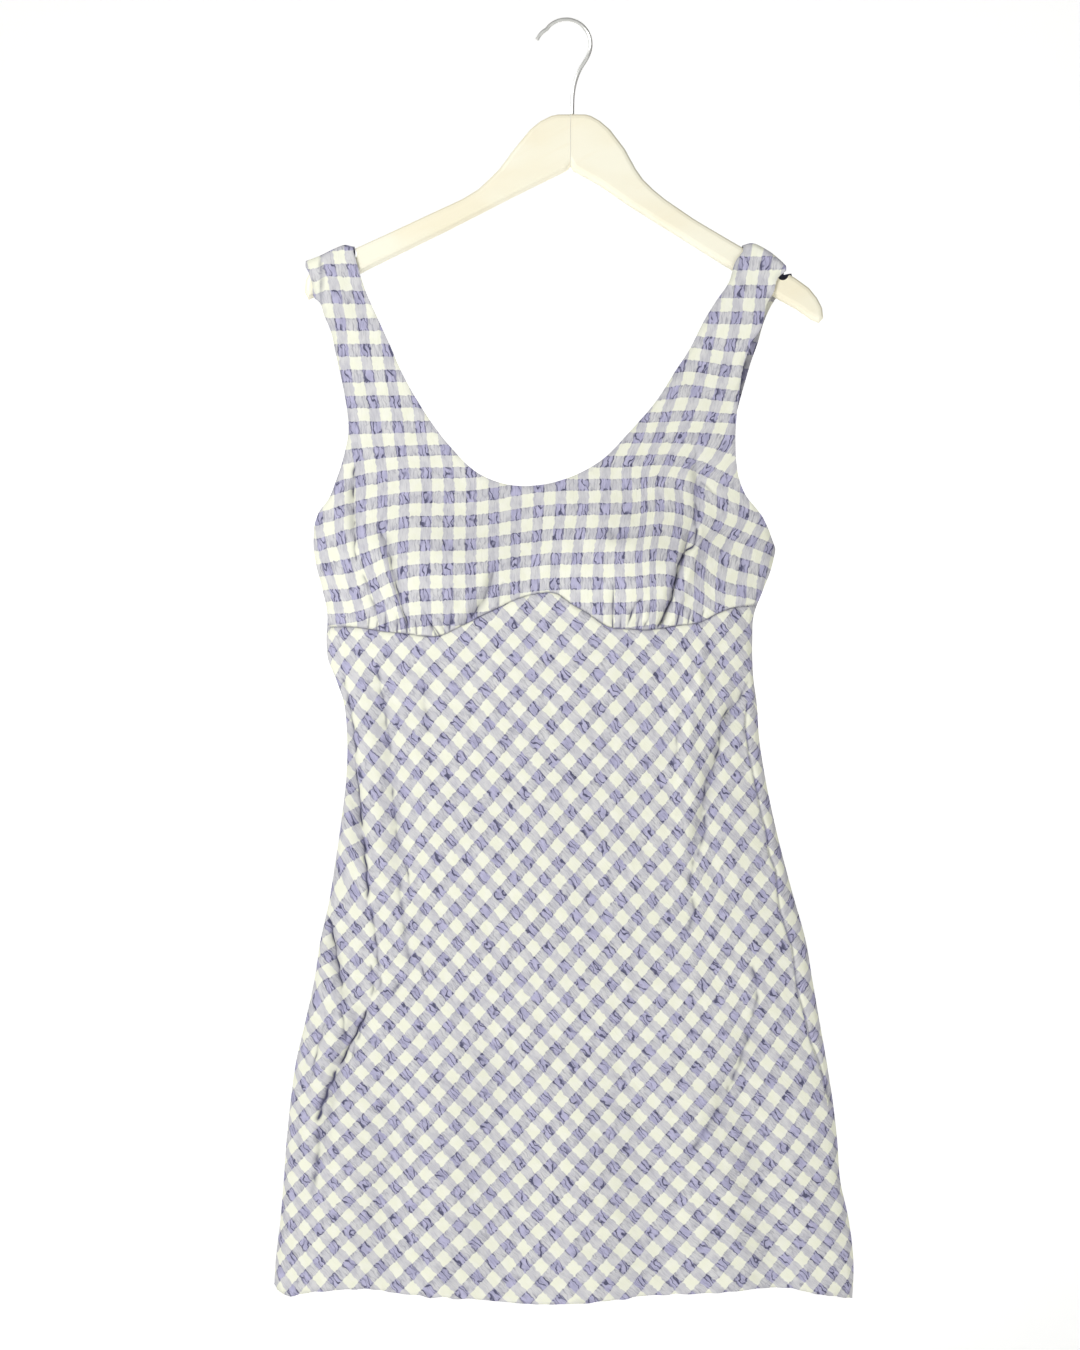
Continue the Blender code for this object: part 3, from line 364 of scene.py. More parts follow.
SKIRT_BACK_CREASES = table(
    Crease,
    (-168, -566, -160, -640, -154, -712, 2.4, 1.6),
    (-150, -730, -152, -770, -146, -812, 2.8, 1.3),
    (138, -572, 130, -640, 118, -700, 2.2, 1.8),
    (112, -716, 110, -752, 98, -790, 2.8, 1.3),
    (-190, -850, -200, -912, -206, -960, 2.0, 1.9),
    (24, -540, 30, -590, 26, -640, 3.4, 0.9),
    (178, -860, 184, -930, 196, -990, 2.8, 1.3),
)
BODICE_FRONT_CREASES = table(
    Crease,
    (-181, -384, -183, -408, -182, -430, 1.5, 2.2),
    (-182, -432, -181, -450, -179, -470, 1.4, 2.2),
    (-159, -440, -150, -464, -146, -480, 1.4, 1.8),
    (-146, -480, -140, -504, -135, -526, 1.5, 2.3),
    (-152, -446, -144, -466, -140, -482, 1.4, -1.0),
    (-173, -478, -166, -500, -160, -522, 1.8, 1.3),
    (109, -366, 112, -392, 111, -414, 1.6, 0.8),
    (110, -418, 111, -428, 109, -441, 1.4, 1.5),
    (110, -439, 109, -453, 99, -462, 1.5, 3.0),
    (100, -461, 94, -474, 91.5, -492, 1.6, 3.2),
    (91.5, -490, 87, -508, 76, -527, 1.5, 3.2),
    (114, -398, 122, -407, 131, -411, 1.8, 1.0),
    (64, -501, 56, -511, 52, -526, 1.3, 2.4),
    (72, -506, 70, -516, 66, -526, 1.2, 1.6),
    (-117, -520, -111, -528, -107, -537, 1.3, 2.6),
    (-110, -517, -105, -524, -102, -534, 1.2, 2.0),
    (-61, -473, -69, -498, -87, -522, 1.6, 1.8),
    (-54, -486, -56, -497, -60, -508, 1.6, 0.9),
)
BODICE_BACK_CREASES = table(
    Crease,
    (-170, -405, -166, -430, -160, -462, 2.0, 1.2),
    (120, -398, 115, -430, 109, -466, 2.0, 1.4),
)

# The right side seam swings to the front. Beyond it the back panel's cloth shows.
SIDE_SEAM_FRONT = table(
    Spot,
    (162, -560), (157, -580), (154.5, -609), (158, -634), (164, -662), (167.5, -681), (173, -702),
    (175, -720), (181, -735), (182.5, -757), (184, -770), (190, -787), (194.5, -799), (196, -811),
    (199.5, -839), (205, -857), (211, -882), (217.5, -897), (221.5, -910), (227.5, -935), (236, -960),
)
SIDE_SEAM_LOW, SIDE_SEAM_HIGH = (-960.0, -920.0), (-600.0, -580.0)

# A crossing check near the middle of the skirt and of the bodice, and the way the skirt's bias runs
SKIRT_CHECK = Spot(-0.5, -812)
SKIRT_COLUMN_WAY, SKIRT_ROW_WAY = math.radians(43.2), math.radians(40.9)
# The skirt's checks are this share of the cloth's own repeat, as the bias draws them together
SKIRT_DRAW = 0.957
BODICE_CHECK = Spot(-4.4, -404.5)

# Left of some of the skirt's folds, each through three spots, the cloth slants: its checks rise to the fold
Slant = namedtuple("Slant", "x0 z0 x1 z1 x2 z2 rise")
SKIRT_SLANTS = table(
    Slant,
    (-180, -640, -172, -712, -163, -770, 0.6), (-205, -790, -197, -820, -190, -862, 0.6),
)
SLANT_FADE, SLANT_REACH = 48.0, 20.0

# Where the cloth has drifted off its even run, by warp millimetres across the columns and weft across the
# rows. power is 2 for a soft drift, and 4 for one that ends more sharply beside a fold.
Drift = namedtuple("Drift", "x z wide high warp weft power")
SKIRT_DRIFTS = table(
    Drift,
    (62, -562, 64, 80, -8, -1.5, 2), (245, -1126, 178, 170, -24, -5, 2), (169, -672, 58, 128, 3.5, 13, 4),
    (198, -859, 53, 76, 0, 8, 4), (-154, -549, 72, 52, 2, 7, 2), (-184, -740, 51, 110, 3, -8, 4),
    (-209, -1089, 141, 110, 0, 13, 2), (-91, -953, 94, 94, -2.4, 0, 2), (28, -800, 64, 72, 2.2, 0, 2),
)
BODICE_DRIFTS = table(
    Drift,
    (93, -365, 39, 65, 5, 0, 2), (72, -462, 40, 24, 5, 0, 2), (-180, -500, 30, 43, 0, 11, 2),
    (131, -492, 26, 35, 0, 8, 2), (-74, -424, 78, 39, 0, 2, 2), (106, -308, 22, 39, 0, -5, 2),
    (-219, -222, 9, 30, 5, 4, 4),
)
# The bodice's rows arch over the bust, and its straps' columns lean out and their rows sag as they rise
Arch = namedtuple("Arch", "x rise")
BODICE_ARCH = table(
    Arch,
    (-215, -27), (-180, -17), (-145, -10.5), (-75, -7), (-25, 0), (60, 2), (80, 4), (105, -1), (130, -13),
    (160, -25), (185, -34),
)
Strap = namedtuple("Strap", "z left_lean right_lean left_rise right_rise")
STRAP_RUN = table(
    Strap,
    (-406, 0, 0, -17, -10), (-390, 1, 0, -14, -5), (-364, 4.8, 11, -13, -1.3), (-339, 7.7, 19, -12, -5.8),
    (-313, 12, 25.5, -10.7, -6.7), (-287, 15.4, 30.5, -9.6, -5.6), (-261, 18, 36, -8.6, -3),
    (-236, 22, 38.6, -6, -1.5), (-210, 27.6, 43, -4.3, 2.1), (-180, 31, 49, -2, 5),
)
STRAP_RUN_FADE = (-406.0, -350.0)
# Cloth taken up out of sight in the gathers and folds: none above the height top, and all of it below low
Takeup = namedtuple("Takeup", "x wide low top cloth")
BODICE_TAKEUPS = table(
    Takeup,
    (-25, 34, -490, -410, 7), (68, 12, -410, -380, 9.5), (66, 14, -490, -440, 4), (98, 12, -400, -370, 4),
)
# Cloth hidden in a slanting fold, more of it further down, which moves all the columns on one side
Tuck = namedtuple("Tuck", "x0 z0 x1 z1 full cloth side")
BODICE_TUCKS = table(
    Tuck,
    (-162, -432, -135, -528, -528, 20, -1), (109, -428, 82, -524, -460, 11, 1),
)
TUCK_EDGE = 1.6

# A stripe's share of the repeat, and how softly its edge ends
STRIPE_SHARE, STRIPE_EDGE = 0.476, 0.02
HEM_WAVE, HEM_WAVE_LENGTH = 1.6, 11.0
# The puckers are two layers of soft noise, with this many cells a check across the columns and along them
Pucker = namedtuple("Pucker", "share across along begin layer")
PUCKERS = table(Pucker, (1.0, 1.7, 0.55, 0, 0.0), (0.8, 0.7, 0.8, 9, 4.0))

# The stage, in metres, with its lens and sensor in millimetres
FLOOR_SIZE, FLOOR_HEIGHT, BACKDROP_HIGH, SWEEP, SWEEP_STEPS = 7.0, -1.5, 5.0, 0.9, 16
PALE, FLOOR_GLOW = (0.96, 0.96, 0.95), 0.62
SENSOR, LENS, FAR_CLIP = 36.0, 46.2, 50
CAMERA_X, CAMERA_Z = -0.0225, -0.566
KEY_PLACE, KEY_SIZE = (-1.3, -1.5, 0.4), 0.9
FILL_PLACE, FILL_SIZE = (1.45, -1.35, -0.75), 1.5


def smooth(at, stations, values):
    """The smooth curve through values at rising stations, read at each of at."""
    at, stations, values = (np.asarray(part, float) for part in (at, stations, values))
    slopes = np.gradient(values, stations)
    k = np.clip(np.searchsorted(stations, at) - 1, 0, len(stations) - 2)
    step = stations[k + 1] - stations[k]
    t = np.clip((at - stations[k]) / step, 0, 1)
    rest = 1 - t
    return (
        (1 + 2 * t) * rest**2 * values[k]
        + t * rest**2 * step * slopes[k]
        + t**2 * (3 - 2 * t) * values[k + 1]
        - t**2 * rest * step * slopes[k + 1]
    )


def read(rows, name, at):
    """A table's values of this name, smooth along the table's first values."""
    return smooth(at, [row[0] for row in rows], [getattr(row, name) for row in rows])


def ease(low, high, value):
    """0 below low, 1 above high and a soft step between."""
    t = np.clip((value - low) / (high - low), 0, 1)
    return t * t * (3 - 2 * t)


def run_through(spots, step):
    """Evenly spaced points on the smooth curve through spots, both ends included."""
    spots = np.array(spots, float)
    along = np.concatenate([[0], np.cumsum(np.hypot(*np.diff(spots, axis=0).T))])
    count = max(2, int(round(along[-1] / step)) + 1)
    at = np.linspace(0, along[-1], count)
    return np.column_stack([smooth(at, along, spots[:, 0]), smooth(at, along, spots[:, 1])])


def middle_and_half(z):
    """The middle of the dress at a height, and half its width there."""
    left, right = read(SECTIONS, "left", z), read(SECTIONS, "right", z)
    return (left + right) / 2, (right - left) / 2


def depth_at(z, side):
    """How deep the dress is at a height, from its middle to its front (side -1) or its back (side 1)."""
    return read(SECTIONS, "front" if side < 0 else "back", z)


def column_of(x, z):
    """The column round the body, -1 at the left side to 1 at the right, of a place seen from the front."""
    middle, half = middle_and_half(z)
    return 2 * np.sin(np.arcsin(np.clip((x - middle) / half, -1, 1)) / 3)


def place_of(column, z):
    """The x of a column, seen from the front."""
    middle, half = middle_and_half(z)
    return middle + half * np.sin(3 * np.arcsin(column / 2))


def body(column, z, side):
    """The middle surface and its outward direction in plan. side is -1 on the front and 1 on the back."""
    middle, half = middle_and_half(z)
    angle = 3 * np.arcsin(column / 2)
    depth = depth_at(z, side)
    place = np.column_stack([middle + half * np.sin(angle), side * depth * np.cos(angle), z])
    out = np.column_stack([np.sin(angle) / half, side * np.cos(angle) / depth, np.zeros_like(z)])
    return place, out / np.linalg.norm(out, axis=1)[:, None]


def arm_top(x):
    """The height of the arms' top edge."""
    spots = sorted(ARM_TOP_LEFT[1:] + ARM_TOP_RIGHT)
    ends = [ARM_END_LEFT, *spots, ARM_END_RIGHT]
    return np.interp(x, [s.x for s in ends], [s.z for s in ends])


def strap_top(x):
    """The height of the strap's middle surface where it goes over the arm."""
    return arm_top(x) + ON_ARM + np.maximum(read(STRAP_LIFT, "rise", x), LEAST_LIFT)


def bow(x):
    """How far the arms curve to the front."""
    return -ARM_BOW * (x / ARM_REACH) ** 2


def strap_surface(column, height, side):
    """The bodice's middle surface. Above the bend, height goes on along the cloth, over the arm."""
    x = place_of(column, height)
    top = strap_top(x)
    turn = np.clip((height - bend_start(x)) / WRAP_ARC, 0, 1) * math.pi / 2
    place, out = body(column, height, side)
    hung = ease(*HANG_FADE, height)
    stepped = ease(FLAP_X + FLAP_EDGE, FLAP_X - FLAP_EDGE, x) * ease(*FLAP_FADE, height) * FLAP_STEP
    y = place[:, 1] * (1 - hung) + (side * (WRAP_Y - stepped) * np.cos(turn) + bow(x)) * hung
    z = np.where(turn > 0, top - WRAP_Z + WRAP_Z * np.sin(turn), height)
    return np.column_stack([x, y, z]), out


def near_path(path, x, z):
    """The distance of each place from a path, positive on the path's right, and how far along it is."""
    best = np.full(x.shape, 1e9)
    signed, along = np.zeros_like(x), np.zeros_like(x)
    count = len(path) - 1
    for k in range(count):
        start, way = path[k], path[k + 1] - path[k]
        t = np.clip(((x - start[0]) * way[0] + (z - start[1]) * way[1]) / (way @ way), 0, 1)
        dx, dz = x - start[0] - t * way[0], z - start[1] - t * way[1]
        distance = np.hypot(dx, dz)
        closer = distance < best
        side = np.where(way[0] * dz - way[1] * dx > 0, -1.0, 1.0)
        best = np.where(closer, distance, best)
        signed = np.where(closer, side * distance, signed)
        along = np.where(closer, (k + t) / count, along)
    return signed, along


def hump(away, wide):
    """1 where away is 0, and a soft fall to nothing over about twice wide."""
    return np.exp(-((away / wide) ** 2))


def curve_of(row):
    """Points on the curve through the three spots that a fold, a crease or a slant starts with."""
    t = np.linspace(0, 1, CURVE_POINTS)[:, None]
    start, middle, end = (np.array(spot) for spot in (row[0:2], row[2:4], row[4:6]))
    pull = 2 * middle - (start + end) / 2
    return (1 - t) ** 2 * start + 2 * t * (1 - t) * pull + t**2 * end


def fold_shape(folds, x, z):
    """(how far folds move the cloth outwards, the fine detail they need, their shade) at each place."""
    moved, detail, shade = np.zeros((3, len(x)))
    for fold in folds:
        across, along = near_path(curve_of(fold), x, z)
        fade = np.ones_like(x)
        if fold.start:
            fade = fade * ease(0, FOLD_FADE, along)
        if fold.end:
            fade = fade * ease(0, FOLD_FADE, 1 - along)
        trough = hump(across, fold.width)
        lip = hump(abs(across) - FOLD_LIP_AT * fold.width, FOLD_LIP_WIDE * fold.width)
        lip = lip * (across * fold.lip > 0)
        moved += fade * (abs(fold.lip) * lip - fold.deep * trough)
        sharp = min(1, SHARP_WIDTH / fold.width)
        detail = np.maximum(detail, fade * sharp * hump(across, FOLD_REACH * fold.width))
        shade = np.maximum(shade, FOLD_SHADE * sharp * fade * trough * (fold.deep > 0))
    return moved, detail, shade


def crease_shape(creases, x, z):
    """(how far creases move the cloth outwards, the fine detail they need, their shade) at each place."""
    moved, detail, shade = np.zeros((3, len(x)))
    wobble = WOBBLE * np.sin(z / WOBBLE_LENGTH + 1.5 * np.sin(x / WOBBLE_WIDE))
    for number, crease in enumerate(creases):
        across, along = near_path(curve_of(crease), x, z)
        across = across + wobble
        broken = 0.5 - 0.5 * np.sin(z / BREAK_LENGTH + x / WOBBLE_WIDE + number)
        strength = 1 - broken * min(BREAK_SHARE, BREAK_SHARE * max(0, UNBROKEN - crease.deep))
        fade = ease(0, CREASE_FADE, along) * ease(0, CREASE_FADE, 1 - along) * strength
        trough = np.exp(-np.sqrt((across / crease.width) ** 2 + 0.02))
        lip = hump(abs(across) - CREASE_LIP_AT * crease.width, CREASE_LIP_WIDE * crease.width)
        moved -= crease.deep * fade * (trough - LIP_SHARE * lip)
        detail = np.maximum(detail, ease(0, 0.3, fade) * hump(across, CREASE_REACH * crease.width))
        # The crease's dark line is painted shade
        darkness = min(DARKEST, max(0, crease.deep) / DEEP_CREASE)
        dark = darkness * np.exp(-np.abs(across / (DARK_WIDE * crease.width)) ** 1.5)
        shade = np.maximum(shade, fade * dark)
    return moved, detail, shade


def above_seam(x, z):
    """How far a place on the front is above the seam under the bust."""
    return z - read(SEAM_FRONT, "z", x)


def bust_shape(x, z):
    """The cups' fullness and the gathers below them, outwards, and the gathers' detail and shade."""
    height = above_seam(x, z)
    full = np.zeros_like(x)
    for cup in CUPS:
        full += cup.full * np.exp(-(((x - cup.x) / cup.wide) ** 2) - ((z - cup.z) / cup.high) ** 2)
    full *= 1 - np.exp(-((np.maximum(height, 0) / CUP_START) ** 1.5))
    gathered, detail, shade = np.zeros((3, len(x)))
    for gather in GATHERS:
        rise = np.clip(height / gather.height, 0, 1)
        across = (x - gather.x - gather.lean * rise) / GATHER_WIDTH
        fade = (1 - ease(*GATHER_FADE, rise)) * clear_of_seam(height)
        gathered -= gather.deep * fade * np.exp(-np.abs(across) ** 1.4)
        near = (1 - ease(*GATHER_REACH_FADE, height / gather.height)) * ease(*GATHER_REACH_FOOT, height)
        detail = np.maximum(detail, near * hump(across, GATHER_REACH))
        # The gather's dark line is painted shade
        dark = hump(across, GATHER_DARK) * min(1, gather.deep / DEEP_CREASE)
        shown = (1 - ease(*GATHER_DARK_FADE, rise)) * ease(*GATHER_DARK_FOOT, height)
        shade = np.maximum(shade, shown * dark)
    return full + gathered, detail, shade


def clear_of_seam(height):
    """0 at a seam, and 1 from where gathers, folds and creases reach their full depth."""
    return ease(0.5, GATHER_START, height)


def stitched(height):
    """A seam's move, which draws the cloth in, its detail and its shade at this height from it."""
    measures = ((SEAM_WIDE, -SEAM_DIP), (3 * SEAM_WIDE, 1), (SEAM_SHADE_WIDE, SEAM_SHADE))
    return tuple(hump(height, wide) * much for wide, much in measures)


def together(fade, faded, kept):
    """Shapes as one (moved, detail, shade). Those in faded lie flat where fade is 0."""
    moved = sum(shape[0] for shape in faded) * fade + sum(shape[0] for shape in kept)
    return moved, *(np.maximum.reduce([shape[k] for shape in (*faded, *kept)]) for k in (1, 2))


def bodice_front_moves(x, z):
    """How far the bodice's front is moved outwards at each place, its detail and its shade."""
    height = above_seam(x, z)
    shapes = (fold_shape(BODICE_FRONT_FOLDS, x, z), crease_shape(BODICE_FRONT_CREASES, x, z))
    # A dark line of painted shade runs along the step where the left strap's outer layer lies behind
    step = hump(x - FLAP_X, FLAP_EDGE) * ease(*FLAP_FADE, z)
    kept = (bust_shape(x, z), stitched(height), (0 * step, step, FLAP_SHADE * step))
    return together(clear_of_seam(height), shapes, kept)


def bodice_back_moves(x, z):
    """The same for the bodice's back."""
    height = z - read(SEAM_BACK, "z", x)
    shapes = (fold_shape(BODICE_BACK_FOLDS, x, z), crease_shape(BODICE_BACK_CREASES, x, z))
    # Painted shade: the right strap's shadow on the strap behind it, and the shade seen in the hanger's notch
    across, _ = near_path(np.array(ARMHOLE_FRONT_RIGHT), x, z)
    behind = hump(across, BEHIND_WIDE) * ease(*BEHIND_LOW, z) * (1 - ease(*BEHIND_HIGH, z))
    painted_notch_shade = np.exp(-(((x - NOTCH_X) / NOTCH_WIDE) ** 4) - ((z - NOTCH_Z) / NOTCH_WIDE) ** 4)
    shaded = (0 * behind, behind, BEHIND_SHADE * np.maximum(behind, painted_notch_shade))
    return together(clear_of_seam(height), shapes, (stitched(height), shaded))


def skirt_moves(folds, creases, height, x, z):
    """The skirt's folds, creases and seam lip. height is how far above the seam a place is."""
    lip = LIP_RISE * hump(-height - LIP_FROM, LIP_WIDE)
    shapes = (fold_shape(folds, x, z), crease_shape(creases, x, z))
    return together(clear_of_seam(-height), shapes, (stitched(height), (lip, 0 * lip, 0 * lip)))


def skirt_front_moves(x, z):
    """The same for the skirt's front, with the side seam that swings round onto it."""
    moved, detail, shade = skirt_moves(SKIRT_FRONT_FOLDS, SKIRT_FRONT_CREASES, above_seam(x, z), x, z)
    across, fade = side_seam(x, z)
    seam, seam_detail, seam_shade = (part * fade for part in stitched(across))
    return moved + seam, np.maximum(detail, seam_detail), np.maximum(shade, seam_shade)


def skirt_back_moves(x, z):
    """The same for the skirt's back."""
    return skirt_moves(SKIRT_BACK_FOLDS, SKIRT_BACK_CREASES, z - read(SEAM_BACK, "z", x), x, z)


def side_seam(x, z):
    """The distance beyond the right side seam on the front, and how far the seam shows there."""
    across, _ = near_path(np.array(SIDE_SEAM_FRONT[::-1]), x, z)
    return across, ease(*SIDE_SEAM_LOW, z) * (1 - ease(*SIDE_SEAM_HIGH, z))


def side_line(low, high, end, side, step):
    """A side seam's edge, (column, z) from low to high. end is -1 for the left side and 1 for the right."""
    z = np.linspace(low, high, max(2, int(round((high - low) / step)) + 1))
    depth = depth_at(z, side)
    return np.column_stack([end * (1 - SEAM_GAP / 2 / (SIDE_RATE * depth)), z])


def cross_line(spots, offset, step):
    """A seam or hem right across a panel, left side to right, at its spots' height plus offset."""
    x = np.arange(spots[0].x, spots[-1].x, step)
    z = read(spots, "z", x)
    middle, half = middle_and_half(z)
    x = x[np.abs(x - middle) < SIDE_MARGIN * half - step / 3]
    ends = np.array([-1, -SIDE_MARGIN, SIDE_MARGIN, 1])
    columns = np.concatenate([column_of(x, read(spots, "z", x)), 2 * np.sin(np.arcsin(ends) / 3)])
    columns.sort()
    z = np.interp(columns, [-1, 1], [spots[0].z, spots[-1].z])
    for _ in range(SEAM_PASSES):
        z = read(spots, "z", place_of(columns, z))
    return np.column_stack([columns, z + offset])


def edge_line(spots, step):
    """A free edge given by the places seen from the front, as (column, height)."""
    places = run_through(spots, step)
    return np.column_stack([column_of(places[:, 0], places[:, 1]), places[:, 1]])


def bend_start(x):
    """The height where a strap begins to bend over the arm."""
    return strap_top(x) - WRAP_Z


def strap_edge(spots, step):
    """A strap's edge, as (column, height), with the bend over the arm at each end that reaches one."""
    ends = [k for k in (0, -1) if spots[k].z > BEND_REGION]
    spots = list(spots)
    for k in ends:
        spots[k] = Spot(spots[k].x, float(bend_start(spots[k].x)))
    pieces = [edge_line(spots, step)]
    for k in ends:
        x = np.full(len(BEND_SHARES), spots[k].x)
        height = bend_start(x) + WRAP_ARC * np.array(BEND_SHARES)
        over = np.column_stack([column_of(x, height), height])
        pieces = [over[::-1], *pieces] if k == 0 else [*pieces, over]
    return np.vstack(pieces)


def shoulder_line(start, end):
    """The shoulder seam on top of an arm, as (column, height)."""
    x = np.linspace(start, end, SHOULDER_POINTS)
    height = bend_start(x) + WRAP_ARC - SEAM_GAP / 2
    return np.column_stack([column_of(x, height), height])


def same_point(one, other):
    """Whether two points given as (column, height) are so close that they are one."""
    return np.hypot((one[0] - other[0]) * FLAT_WIDTH, one[1] - other[1]) < SAME_POINT


def join_lines(*lines):
    """One closed outline from (name, points) lines that run on from each other, and each point's names."""
    points, names = [], []
    for name, line in lines:
        for point in line:
            if points and same_point(point, points[-1]):
                names[-1] = names[-1] | {name}
            else:
                points.append(point)
                names.append({name})
    if same_point(points[0], points[-1]):
        names[0] = names[0] | names[-1]
        points.pop()
        names.pop()
    return np.array(points), names


def lattice(outline, step):
    """Staggered points over the outline's box, as (column, height), evenly spaced as seen from the front."""
    x_of_outline = place_of(*outline.T)
    rows = np.arange(outline[:, 1].min() + step / 2, outline[:, 1].max(), step * ROW_HEIGHT)
    wide = np.arange(x_of_outline.min(), x_of_outline.max(), step)
    x = np.concatenate([wide + (k % 2) * step / 2 for k in range(len(rows))])
    z = np.repeat(rows, len(wide))
    middle, half = middle_and_half(z)
    clear_of_sides = np.abs(x - middle) < SIDE_MARGIN * half
    x, z = x[clear_of_sides], z[clear_of_sides]
    return np.column_stack([column_of(x, z), z])


def inside(points, outline):
    """Whether each point is in the closed outline."""
    found = np.zeros(len(points), bool)
    previous = outline[-1]
    for corner in outline:
        crosses = (corner[1] > points[:, 1]) != (previous[1] > points[:, 1])
        rise = previous[1] - corner[1]
        at = corner[0] + (points[:, 1] - corner[1]) * (previous[0] - corner[0]) / (rise if rise else 1)
        found ^= crosses & (points[:, 0] < at)
        previous = corner
    return found


def seen(points):
    """Points given as (column, height), as places seen from the front."""
    return np.column_stack([place_of(*points.T), points[:, 1]])


def clearance(points, outline):
    """The distance of each point from the outline, seen from the front."""
    ring = seen(np.vstack([outline, outline[:1]]))
    return np.abs(near_path(ring, *seen(points).T)[0])


def bend_points(outline):
    """Rows of points over the arms, and some just below the bend."""
    x = np.arange(ARMHOLE_FRONT_LEFT[0].x, ARMHOLE_FRONT_RIGHT[0].x, BEND_ACROSS)
    heights = [bend_start(x) + WRAP_ARC * share for share in (*BEND_SHARES, 0.0)]
    heights += [bend_start(x) - BEND_BELOW * k for k in (1, 2)]
    points = np.vstack([np.column_stack([column_of(x, h), h]) for h in heights])
    points = points[inside(points, outline)]
    return points[clearance(points, outline) > BEND_EDGE_CLEAR * BEND_ACROSS]


def rows_along(lines, outline):
    """Rows of points that follow crisp lines, given as (path seen from the front, width)."""
    kept = np.empty((0, 2))
    for path, width in lines:
        spine = run_through(path, ROW_STEP)
        way = np.gradient(spine, axis=0)
        across = np.column_stack([way[:, 1], -way[:, 0]]) / np.hypot(*way.T)[:, None]
        row = np.vstack([spine + across * share * width for share in ROW_SHARES])
        if len(kept):
            away = np.hypot(row[:, None, 0] - kept[None, :, 0], row[:, None, 1] - kept[None, :, 1])
            row = row[away.min(axis=1) > ROW_GAP]
        kept = np.vstack([kept, row])
    points = np.column_stack([column_of(*kept.T), kept[:, 1]])
    points = points[inside(points, outline)]
    return points[clearance(points, outline) > ROW_GAP]


def clear_of(lines, points):
    """Whether each point is clear of the rows that follow crisp lines."""
    x, z = seen(points).T
    clear = np.ones(len(points), bool)
    for path, width in lines:
        clear &= abs(near_path(path, x, z)[0]) > ROWS_CLEAR * width
    return clear


def gather_path(gather):
    """The line of a gather, from just above the seam to where it dies out."""
    rise = np.linspace(0, 1, 5)
    x = gather.x + gather.lean * rise
    return np.column_stack([x, read(SEAM_FRONT, "z", x) + 1 + (gather.height - 1) * rise])


def inner_points(outline, moves, scale, lines):
    """Points inside a panel, close together where folds, gathers and creases need it."""
    kept = [rows_along(lines, outline)] if lines else []
    for level, step in enumerate(POINT_STEPS):
        step *= scale
        points = lattice(outline, step)
        points = points[inside(points, outline)]
        x, z = seen(points).T
        _, detail, _ = moves(x, z)
        wanted = np.digitize(detail, DETAIL_LEVELS)
        below_bend = z < bend_start(x) - BEND_BELOW_CLEAR * BEND_BELOW
        points = points[(wanted == level) & below_bend]
        points = points[clear_of(lines, points)]
        kept.append(points[clearance(points, outline) > OUTLINE_CLEAR * step])
    if outline[:, 1].max() > BEND_REGION:
        kept.append(bend_points(outline))
    return np.vstack(kept)


def triangles(outline, points):
    """The panel's triangles over its outline and inner points, as (places, faces, outline numbers)."""
    flat = [(c * FLAT_WIDTH, z) for c, z in np.vstack([outline, points])]
    ring = list(range(len(outline)))
    places, _, faces, sources, _, _ = delaunay_2d_cdt(flat, [], [ring], 1, 1e-6)
    numbers = [min(source) if source and min(source) < len(outline) else -1 for source in sources]
    return np.array([(p[0] / FLAT_WIDTH, p[1]) for p in places]), [list(f) for f in faces], numbers


def face_normals(points, faces):
    """The mean direction of the faces round each point."""
    faces = np.array(faces)
    a, b, c = points[faces[:, 0]], points[faces[:, 1]], points[faces[:, 2]]
    across = np.cross(b - a, c - a)
    normals = np.zeros_like(points)
    for corner in range(3):
        np.add.at(normals, faces[:, corner], across)
    return normals / np.linalg.norm(normals, axis=1)[:, None]


def rim_edges(faces):
    """The directed edges that only one face has."""
    edges = {(face[k], face[(k + 1) % 3]) for face in faces for k in range(3)}
    return [edge for edge in edges if (edge[1], edge[0]) not in edges]


def flattened(column, z, side):
    """The place across the cloth when it is laid flat, so that checks don't stretch where it turns away."""
    middle, half = middle_and_half(z)
    depth = depth_at(z, side)
    turn = 3 * np.arcsin(column / 2)
    steps = (np.arange(TURN_STEPS) + 0.5) / TURN_STEPS
    angles = turn[:, None] * steps
    speed = np.hypot(half[:, None] * np.cos(angles), depth[:, None] * np.sin(angles))
    return middle + speed.mean(axis=1) * turn


def slanted(x, z):
    """Heights on the skirt, drawn aslant to the left of its slants' folds."""
    for slant in SKIRT_SLANTS:
        across, _ = near_path(curve_of(slant), x, z)
        share = (1 - ease(slant.z0 - SLANT_FADE, slant.z0, z)) * ease(slant.z2, slant.z2 + SLANT_FADE, z)
        z = z - slant.rise * np.clip(across, 0, SLANT_REACH) * share
    return z


def drifted(columns, rows, drifts, x, z):
    """Columns and rows, in millimetres, moved by the cloth's drifts."""
    for drift in drifts:
        across, up = abs(x - drift.x) / drift.wide, (z - drift.z) / drift.high
        near = np.exp(-(across**drift.power) - up**2)
        columns, rows = columns + drift.warp * near, rows + drift.weft * near
    return columns, rows


def skirt_checks(x, z, repeat, mirrored=False):
    """How many columns and rows of checks a place is from the skirt's named check.

    The skirt is cut on the bias. The back's checks are mirrored, and they haven't drifted.
    """
    column_repeat, row_repeat = (part * SKIRT_DRAW for part in repeat)
    if not mirrored:
        z = slanted(x, z)
    right, up = x - SKIRT_CHECK.x, z - SKIRT_CHECK.z
    if mirrored:
        right = -right
    columns = right * math.cos(SKIRT_COLUMN_WAY) + up * math.sin(SKIRT_COLUMN_WAY)
    rows = right * math.cos(SKIRT_ROW_WAY) - up * math.sin(SKIRT_ROW_WAY)
    if not mirrored:
        columns, rows = drifted(columns, rows, SKIRT_DRIFTS, x, z)
    return np.column_stack([columns / column_repeat, rows / row_repeat])


